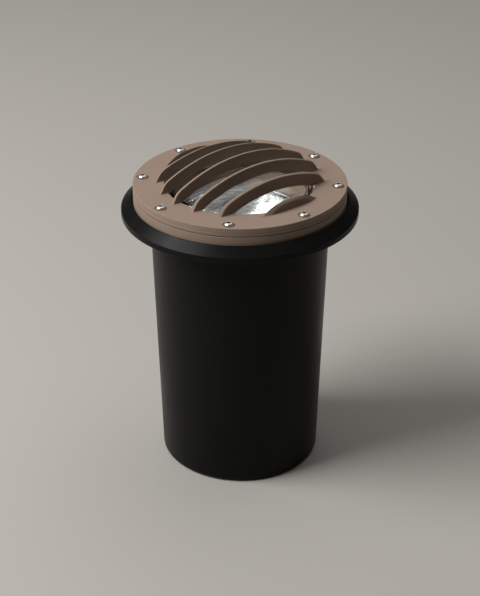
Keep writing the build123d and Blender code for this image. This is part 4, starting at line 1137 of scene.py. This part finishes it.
class WELLLIGHT_OT_screws(Maker, bpy.types.Operator):
    """Pan-head screws with hexagon sockets, one in each counterbore"""

    bl_idname = "well_light.screws"
    bl_label = "Cover screws"

    def make(self):
        """One outline from the tip over the thread and the head into the socket, and a copy of the screw
        in each counterbore, turned a step further than the one before."""
        w = self.screw
        seat_z = low("grille_cover").z + self.grille.thickness - self.grille.counterbore_depth
        base_z, top_z = low("cover_screws").z, seat_z + w.height
        half, corner = w.socket / 2, corner_of(w.socket)
        floor_z = top_z - w.socket_depth
        head = np.concatenate([
            faced([(0, base_z), (w.tip, base_z)]),
            faced(grooves(w.shank, base_z + w.bevel, seat_z, w.pitch)),
            faced([(w.head - w.bevel, seat_z), (w.head, seat_z + w.bevel)]),
            faced(bow((w.head, seat_z + w.shoulder), (corner + w.bevel, top_z), -w.crown, steps=12)),
            faced([(corner, top_z - w.bevel), (corner, floor_z), (half / 2, floor_z - w.bevel),
                   (0, floor_z - w.bevel)], half)])
        screws = Surface()
        for index, place in enumerate(self.screw_places()):
            screw = Surface().turn(head, divisions=48, ring=False).carry(turned_by(index * w.turn))
            screws.copies(screw, [(*place, 0)])
        mesh = piece("cover_screw_set", screws, "head", "cover_screws", self.finish("socket_screw")).data
        # painted shade inside the sockets
        self.soil(mesh, corner + w.bevel / 4, floor_z - 2 * w.bevel)

    def soil(self, mesh, reach, base_z):
        """Marks the insides of the sockets for painted shade: points above a height, and nearer to a
        screw's axis than reach."""
        points = np.empty(3 * len(mesh.vertices))
        mesh.vertices.foreach_get("co", points)
        points = points.reshape(-1, 3)
        off_axis = np.linalg.norm(points[:, None, :2] - self.screw_places(), axis=-1).min(1)
        in_socket = (off_axis < reach) & (points[:, 2] > base_z)
        mesh.attributes.new(SOCKET_SHADE, "FLOAT", "POINT").data.foreach_set("value", in_socket.astype(float))


class WELLLIGHT_OT_glass(Maker, bpy.types.Operator):
    """Domed glass and the gasket round its rim"""

    bl_idname = "well_light.glass"
    bl_label = "Domed glass"
    SHOULDER_RUN = 0.9       # the shoulder's fillet is aimed at the dome at this share of its radius
    FILLET_PLACE = 3         # points of the hollow's arc that give way to the fillet at its foot

    def make(self):
        """The dome's outside and inside are balls round one centre, a thickness apart. The outer one
        rises to the apex from the shoulder, which keeps its headroom under the fins' lower dome."""
        g = self.glass
        rim, apex_z = high("lens_glass").x, high("lens_glass").z
        base_z = low("lens_glass").z
        top_z = base_z + g.rim
        crown = rim - g.held - g.gap
        cavity = crown - g.side
        shoulder_z = low("grille_cover").z + self.grille.thickness + self.dome_rise() - g.headroom
        ball = ball_radius(crown, apex_z - shoulder_z)
        inner = ball - g.thickness
        centre_z = apex_z - ball
        inner_edge = centre_z + np.sqrt(inner**2 - cavity**2)
        near = self.SHOULDER_RUN * crown
        side = rounded(
            [(cavity, base_z), (rim, base_z), (rim, top_z), (crown, top_z), (crown, shoulder_z),
             (near, centre_z + np.sqrt(ball**2 - near**2))],
            {1: g.arris, 2: g.arris, 3: 2 * g.arris, 4: g.shoulder}, steps=8)[:-1]
        dome = ball_arc(ball, centre_z, side[-1, 0], 0)[1:]
        hollow = ball_arc(inner, centre_z, 0, cavity)[:-self.FILLET_PLACE]
        foot = rounded([hollow[-1], (cavity, inner_edge), (cavity, base_z)], {1: g.shoulder / 2},
                       guard=0.0)[1:]
        lens = Surface().turn(np.concatenate([side, dome]), divisions=192, ring=False)
        lens.turn(np.concatenate([hollow, foot]), divisions=192, ring=False)
        piece("dome_glass", lens, "head", "lens_glass", self.finish("clear_glass"))
        self.add_gasket(rim, rim - (g.held - g.gasket_top), base_z, top_z)

    def add_gasket(self, rim, lap, base_z, top_z):
        """Gasket of U section round the rim, which laps over it on top."""
        outer = high("lens_gasket").x
        foot_z, over_z = heights_of("lens_gasket")
        inner = outer + self.housing.gasket_fit - self.housing.seat
        section = rounded(
            [(inner, foot_z), (outer, foot_z), (outer, over_z), (lap, over_z), (lap, top_z),
             (rim, top_z), (rim, base_z), (inner, base_z)],
            dict.fromkeys(range(4), self.glass.gasket_round), steps=3)
        piece("glass_gasket", Surface().turn(section, divisions=128), "head", "lens_gasket",
              self.finish("seal_rubber"))

    def dome_rise(self):
        """Height over the cover of the fins' lower dome, at the edge of the glass."""
        opening = high("lens_glass").x - self.glass.held
        rise = high("grille_cover").z - low("grille_cover").z - self.grille.thickness
        dome = ball_radius(opening, rise - self.grille.edge_rise)
        crown = opening - self.glass.gap
        return rise - dome + np.sqrt((dome - self.grille.fin_depth) ** 2 - crown**2)


class WELLLIGHT_OT_lamp(Maker, bpy.types.Operator):
    """Sealed lamp: front glass, reflector, capsule with its filament and glare shield, in its ring"""

    bl_idname = "well_light.lamp"
    bl_label = "Lamp"
    PER_PETAL = 12           # directions of points for each petal
    PER_COIL = 24            # points along each turn of the filament
    WIRE_SIDES = 8           # sides of the filament's wire and of its posts
    RIPPLES = ((0.4, 1.0), (1.5, 0.71), (2.7, 1.37))    # direction and relative width of each set
    CURL = 2.0               # how far the ripples' lines swing to and fro, in radians of their wave
    CURL_PACE = 0.31         # how often they do so, as a share of the ripples' own frequency

    def make(self):
        """All pieces of the lamp and its ring."""
        radius, mouth_z = high("lamp_reflector").x, low("lamp_front_glass").z
        self.add_front(radius, mouth_z)
        self.add_reflector(radius, mouth_z)
        self.add_capsule()
        self.add_shield()
        self.add_ring()

    def add_front(self, radius, mouth_z):
        """Front glass of even thickness, a shallow cap inside a flat rim."""
        m = self.lamp
        front_z = mouth_z + m.front
        edge = high("lamp_ring").y - m.ring_wall - m.ring_lip - m.ring_gap
        inside = edge - m.front
        rim = rounded([(inside, mouth_z), (radius, mouth_z), (radius, front_z), (edge, front_z)],
                      {1: m.arris, 2: m.arris}, steps=4)
        front = Surface().turn(np.concatenate([rim[1:], cap(edge, front_z, m.bulge)[1:]]),
                               divisions=160, ring=False)
        front.turn(cap(inside, mouth_z, m.bulge)[::-1], divisions=160, ring=False)
        piece("lamp_lens", front, "lamp", "lamp_front_glass", self.finish("lamp_glass"))

    def add_reflector(self, radius, mouth_z):
        """Paraboloid of height depth (r / mouth) squared, whose bowl is pressed into rings of petals and
        rippled. At the shares t of its width and u of its length, a petal stands flute sin(pi t)
        sin(pi u) r / mouth behind the paraboloid, and every second ring is turned by half a petal. The
        ripple is ripple sin(p . k + curl sin(pace p . k')) summed over the ripples' directions k, with
        k' across k."""
        m = self.lamp
        vertex_z = high("burner_shield").z - m.shield_wall - m.capsule
        mouth = radius - m.wall
        depth = mouth_z - vertex_z
        hole = high("lamp_burner").x
        back_z, rim_z = low("lamp_reflector").z, mouth_z + m.front - m.rim

        def parabola(start, end, steps, drop=0.0):
            """Outline of the paraboloid, or of one that lies lower by drop, between two radii."""
            r = np.linspace(start, end, steps)
            return np.stack([r, vertex_z - drop + depth * (r / mouth) ** 2], 1)

        shell_end = mouth * np.sqrt((rim_z - vertex_z + m.back) / depth)
        shell = parabola(m.neck, shell_end, steps=40, drop=m.back)
        back = rounded([(hole, back_z), (m.neck, back_z), shell[0]], {1: m.arris}, steps=4)
        rim = rounded([shell[-1], (radius, rim_z), (radius, mouth_z), (mouth, mouth_z)],
                      {1: m.arris}, steps=4)
        outline = np.concatenate([back[:-1], shell, rim[1:],
                                  parabola(mouth, hole, steps=90)[1:]])

        def pressed(points):
            """Moves the bowl's points back by the height of the petals and the ripples. They lie less
            than a quarter of the wall behind the paraboloid, and a millimetre inside its mouth."""
            r, a = np.hypot(points[:, 0], points[:, 1]), np.arctan2(points[:, 1], points[:, 0])
            behind = vertex_z + depth * (r / mouth) ** 2 - m.back / 4
            in_bowl = (points[:, 2] > behind) & (r < mouth - MM)
            ring = r / mouth * m.rings
            across = (a / TURN * m.petals + 0.5 * np.floor(ring)) % 1.0
            height = m.flute * np.sin(np.pi * across) * np.sin(np.pi * (ring % 1.0))
            for direction, width in self.RIPPLES:
                k = TURN / (width * m.ripple_size) * np.array([np.cos(direction), np.sin(direction)])
                bend = np.sin(self.CURL_PACE * (points[:, :2] @ (k[1], -k[0])))
                height = height + m.ripple * np.sin(points[:, :2] @ k + self.CURL * bend)
            return points - np.stack([0 * r, 0 * r, in_bowl * height * r / mouth], 1)

        reflector = Surface().turn(outline, self.PER_PETAL * m.petals).carry(pressed)
        piece("reflector", reflector, "lamp", "lamp_reflector", self.finish("aluminised_glass"))

    def add_capsule(self):
        """Halogen capsule with its cavity, and the coiled filament between its two posts."""
        m = self.lamp
        radius = high("lamp_burner").x
        base_z, top_z = heights_of("lamp_burner")
        bore, seal_z, tip_z = radius - m.capsule_wall, base_z + m.pinch, top_z - m.capsule_wall
        outside = rounded([(0, base_z), (radius, base_z), (radius, top_z), (0, top_z)],
                          {1: m.arris, 2: m.capsule_round}, steps=12)
        cavity = rounded([(0, tip_z), (bore, tip_z), (bore, seal_z), (0, seal_z)],
                         {1: m.capsule_round - m.capsule_wall, 2: bore / 2}, steps=10)
        capsule = Surface().turn(outside, divisions=64, ring=False)
        capsule.turn(cavity, divisions=64, ring=False)
        piece("capsule", capsule, "lamp", "lamp_burner", self.finish("capsule_glass"))

        turns = np.linspace(0, m.coils * TURN, self.PER_COIL * m.coils)
        coil = np.stack([np.linspace(-m.coil_length / 2, m.coil_length / 2, len(turns)),
                         m.coil * np.cos(turns), (seal_z + tip_z) / 2 + m.coil * np.sin(turns)], 1)
        wires = Surface().bar(tube(coil, m.filament, self.WIRE_SIDES))
        for end in (coil[0], coil[-1]):
            post = np.linspace((end[0], 0, base_z + m.pinch / 2), end, 6)
            wires.bar(tube(post, 2 * m.filament, self.WIRE_SIDES))
        filament = shaped("filament", wires, self.finish("tungsten"))
        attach(filament, "lamp")

    def add_shield(self):
        """Spun cap over the capsule's end. The radii of its lower edge are just under half its wall."""
        wall, radius = self.lamp.shield_wall, high("burner_shield").x
        low_z, high_z = heights_of("burner_shield")
        lip = wall / 2.1     # two arcs of half the wall would meet in one point
        section = rounded(
            [(0, high_z - wall), (radius - wall, high_z - wall), (radius - wall, low_z),
             (radius, low_z), (radius, high_z), (0, high_z)],
            {1: wall, 2: lip, 3: lip, 4: 2 * wall}, guard=FINE_GUARD)
        piece("glare_cap", Surface().turn(section, divisions=72, ring=False), "lamp", "burner_shield",
              self.finish("stainless_steel"))

    def add_ring(self):
        """Rolled band with its lip, a bush on each side for the tilt screws, and the wire that holds the
        lamp against the lip."""
        m = self.lamp
        bottom, top = heights_of("lamp_ring")
        outer, reach = high("lamp_ring").y, high("lamp_ring").x - m.pivot_gap
        inner = outer - m.ring_wall
        lip, bore = inner - m.ring_lip, m.pivot + m.pivot_gap
        band = Surface().turn(rounded(
            [(inner, bottom), (outer, bottom), (outer, top), (lip, top), (lip, top - m.ring_wall),
             (inner, top - m.ring_wall)], {2: m.ring_wall, 3: m.arris, 4: m.arris}, steps=5),
            divisions=160)
        start = inner + m.arris
        bush = rounded([(bore, start), (m.lug, start), (m.lug, reach), (bore, reach)], {2: m.arris},
                       steps=4)
        tilt_z = middle("tilt_screws").z
        for side in (1, -1):
            lug = Surface().turn(bush, divisions=40).carry(laid_along_x(side, tilt_z))
            band.copies(lug, [(0, 0, 0)])
        piece("lamp_band", band, "lamp", "lamp_ring", self.finish("zinc_plated_steel"))

        wire, around = m.wire / 2, angles(120)
        path = np.stack([(inner - wire) * np.cos(around), (inner - wire) * np.sin(around),
                         np.full(len(around), middle("lamp_spring_ring").z)], 1)
        spring = Surface().add(tube(path, wire, closed=True), wrap_columns=True)
        piece("spring_wire", spring, "lamp", "lamp_spring_ring", self.finish("stainless_steel"))


class WELLLIGHT_OT_gland(Maker, bpy.types.Operator):
    """Cable gland in the housing's floor: body, seal, cap nut, sealing ring and locknut"""

    bl_idname = "well_light.gland"
    bl_label = "Cable gland"
    SEAL_POINTS = 61         # points along the seal's bore

    def make(self):
        """The five pieces, each one outline. The seal's bore is a wave along its length: its radius is
        cable + lip (1 - cos a) / 2, where a makes as many turns as there are grooves."""
        g = self.gland
        end_z, top_z = heights_of("gland_body")
        nut_z, nut_top = heights_of("gland_nut")
        lock_z, lock_top = heights_of("gland_locknut")
        seal_z, seal_top = heights_of("gland_seal")
        ring_z, ring_top = heights_of("gland_o_ring")
        seat_z = ring_z - g.hexagon_height
        body = np.concatenate([
            faced([(g.seal, end_z), (g.neck - g.chamfer, end_z)]),
            faced(grooves(g.neck, end_z + g.chamfer, seat_z, g.pitch)),
            hexagon(g.hexagon, seat_z, ring_z, g.chamfer),
            faced([(g.thread, ring_z)]),
            faced(grooves(g.thread, ring_z, top_z - g.chamfer, g.pitch)),
            faced([(g.thread - g.chamfer, top_z), (g.bore, top_z), (g.bore, seat_z),
                   (g.seal, seat_z)])])
        self.fitting("gland_body_moulding", body, "gland_body", "black_nylon")

        half, corner = g.nut / 2, corner_of(g.nut)
        nut = np.concatenate([
            faced(rounded([(g.bore, nut_z), (corner, nut_z), (corner, nut_top - g.chamfer)],
                          {1: half / 2}, steps=10), half),
            faced([(CONE_START * half, nut_top), (g.neck, nut_top), (g.neck, end_z), (g.seal, end_z),
                   (g.seal, seal_z), (g.bore, seal_z)])])
        self.fitting("gland_cap_nut", nut, "gland_nut", "black_nylon")

        lock = np.concatenate([hexagon(g.hexagon, lock_z, lock_top, g.chamfer),
                               faced([(g.thread, lock_top), (g.thread, lock_z)])])
        self.fitting("gland_lock_nut", lock, "gland_locknut", "black_nylon")

        z = np.linspace(seal_top - g.soft, seal_z + g.soft, self.SEAL_POINTS)
        lips = g.cable + g.lip * (1 - np.cos(g.lips * TURN * (z - z[-1]) / (z[0] - z[-1]))) / 2
        mouth = g.cable + g.soft
        seal = np.concatenate([
            rounded([(mouth, seal_z), (g.seal, seal_z), (g.seal, seal_top), (mouth, seal_top)],
                    {1: g.soft, 2: g.soft}, steps=4),
            np.stack([lips, z], 1)])
        self.fitting("gland_bush", seal, "gland_seal", "seal_rubber")

        outer = (high("gland_o_ring").x - low("gland_o_ring").x) / 2
        ring = rounded([(g.thread, ring_z), (outer, ring_z), (outer, ring_top), (g.thread, ring_top)],
                       {1: g.soft, 2: g.soft}, steps=5)
        self.fitting("gland_sealing_ring", ring, "gland_o_ring", "seal_rubber")

    def fitting(self, name, outline, node, finish):
        """A turned or hexagonal piece of the gland, on the gland's own axis."""
        surface = Surface().turn(outline, divisions=72, centre=self.gland_at())
        piece(name, surface, "head", node, self.finish(finish))


class WELLLIGHT_OT_fittings(Maker, bpy.types.Operator):
    """The two leads, and the finishes of the yoke, the terminals and the fixings"""

    bl_idname = "well_light.fittings"
    bl_label = "Fittings"

    # Points in millimetres that guide each lead out of its fork terminal, round and into the block.
    LEADS = {
        "lead_black": [(10, 17, 169.575), (10, 33, 169.575), (22, 39, 158.6), (28, 30, 148.6),
                       (28, 5, 148.6)],
        "lead_white": [(-10, 17, 169.575), (-10, 33, 169.575), (10, 45, 158.6), (34, 42, 151.1),
                       (40, 30, 148.6), (40, 5, 148.6)],
    }
    INSULATION = {"lead_black": "black_insulation", "lead_white": "white_nylon"}
    # Nodes that keep their own mesh, by their finish.
    DRESSED = {
        "zinc_plated_steel": ["lamp_yoke", "lead_fork_terminals"],
        "stainless_steel": ["tilt_screws", "block_fixing_screw", "yoke_spring_washer",
                            "yoke_pivot_screw"],
        "brass": ["block_clamp_screws", "lamp_terminal_posts", "lamp_terminal_screws"],
        "porcelain": ["terminal_block"],
        "white_nylon": ["tilt_washers", "yoke_friction_washer"],
    }

    def make(self):
        """Each lead is a tube along the spline that its points guide."""
        for node, points in self.LEADS.items():
            run = Surface().bar(tube(guided(node, np.array(points) * MM), self.lamp.lead))
            flex = shaped(node + "_flex", run, self.finish(self.INSULATION[node]))
            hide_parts(node)
            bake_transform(flex)
        for finish, nodes in self.DRESSED.items():
            dress(self.finish(finish), nodes)


class WELLLIGHT_OT_stage(Maker, bpy.types.Operator):
    """Pale floor, soft lights and the camera"""

    bl_idname = "well_light.stage"
    bl_label = "Stage"
    REACH = 8.0              # middle of the floor to its sides, in metres
    LAMPS = {                # place and size in metres, power in watts
        "key": ((-1.57, -0.38, 1.74), 1.35, 61.0),
        "overhead": ((0.3, 0.9, 2.2), 2.6, 19.0),
    }
    AIM = (0.0, 0.0, 0.2)    # what the lamps face
    ROOM_LIGHT = 0.16        # strength of the light from all round
    EYE = (0.0, -1.28306, 0.85328)
    TILT = 61.212            # the camera's turn away from straight down, in degrees
    FOCAL_LENGTH = 100.0     # in millimetres, as the sensor's width
    SENSOR_WIDTH = 36.0

    def make(self):
        """Floor, lamps, even light from all round, and the camera."""
        scene, pale = bpy.context.scene, self.colours.floor
        paper = Finish("studio_floor", Roughness=0.8, Specular_IOR_Level=0.2)
        paper.feed("Base Color", paper.mix(paper.noise(0.5), shade(pale, 0.985), shade(pale, 1.015)))
        corners = np.array([[(-1, -1, 0), (-1, 1, 0)], [(1, -1, 0), (1, 1, 0)]]) * self.REACH
        floor = Surface().add(corners, wrap_rows=False).mesh("floor")
        floor.materials.append(paper.material)
        ground = linked("floor", floor)

        for name, (place, size, power) in self.LAMPS.items():
            self.light(name, place, size, power)
        scene.world = bpy.data.worlds.new("studio")
        Nodes(scene.world).fill("Background", Color=(*shade(self.colours.wall), 1.0),
                                Strength=self.ROOM_LIGHT)

        camera = bpy.data.cameras.new("camera")
        camera.lens, camera.sensor_width = self.FOCAL_LENGTH, self.SENSOR_WIDTH
        scene.camera = linked("camera", camera)
        scene.camera.location = self.EYE
        scene.camera.rotation_euler = (np.radians(self.TILT), 0.0, 0.0)
        scene.view_settings.view_transform = "Standard"

    def light(self, name, place, size, power):
        """Square area light that faces the object."""
        lamp = bpy.data.lights.new(name, "AREA")
        lamp.size, lamp.energy = size, power
        thing = linked(name, lamp)
        thing.location = place
        aim = Vector(self.AIM) - Vector(place)
        thing.rotation_euler = aim.to_track_quat("-Z", "Y").to_euler()


class WELLLIGHT_PT_panel(bpy.types.Panel):
    """Sizes, colours and steps of the well light"""

    bl_idname = "WELLLIGHT_PT_panel"
    bl_label = "Well Light"
    bl_space_type = "VIEW_3D"
    bl_region_type = "UI"
    bl_category = "Well Light"

    def draw(self, context):
        """A button for each step, and a box for each group of properties."""
        for step in STEPS:
            self.layout.operator(step.bl_idname)
        for name, group in GROUPS.items():
            box = self.layout.box()
            box.label(text=group.__doc__)
            for prop in group.__annotations__:
                box.prop(getattr(context.scene, "well_light_" + name), prop)


GROUPS = {
    "sleeve": SleeveSizes, "housing": HousingSizes, "grille": GrilleSizes, "screw": ScrewSizes,
    "glass": GlassSizes, "lamp": LampSizes, "gland": GlandSizes, "colours": Colours,
}
STEPS = [
    WELLLIGHT_OT_sleeve, WELLLIGHT_OT_housing, WELLLIGHT_OT_grille, WELLLIGHT_OT_screws,
    WELLLIGHT_OT_glass, WELLLIGHT_OT_lamp, WELLLIGHT_OT_gland, WELLLIGHT_OT_fittings,
    WELLLIGHT_OT_stage,
]
CLASSES = [*GROUPS.values(), *STEPS, WELLLIGHT_PT_panel]


def register():
    """Adds the classes to Blender and the property groups to the scene."""
    for kind in CLASSES:
        bpy.utils.register_class(kind)
    for name, group in GROUPS.items():
        setattr(bpy.types.Scene, "well_light_" + name, PointerProperty(type=group))


def unregister():
    """Takes them out again."""
    for name in GROUPS:
        delattr(bpy.types.Scene, "well_light_" + name)
    for kind in reversed(CLASSES):
        bpy.utils.unregister_class(kind)


def main():
    """Makes everything in order."""
    register()
    for step in STEPS:
        group, name = step.bl_idname.split(".")
        getattr(getattr(bpy.ops, group), name)()


if __name__ == "__main__":
    main()
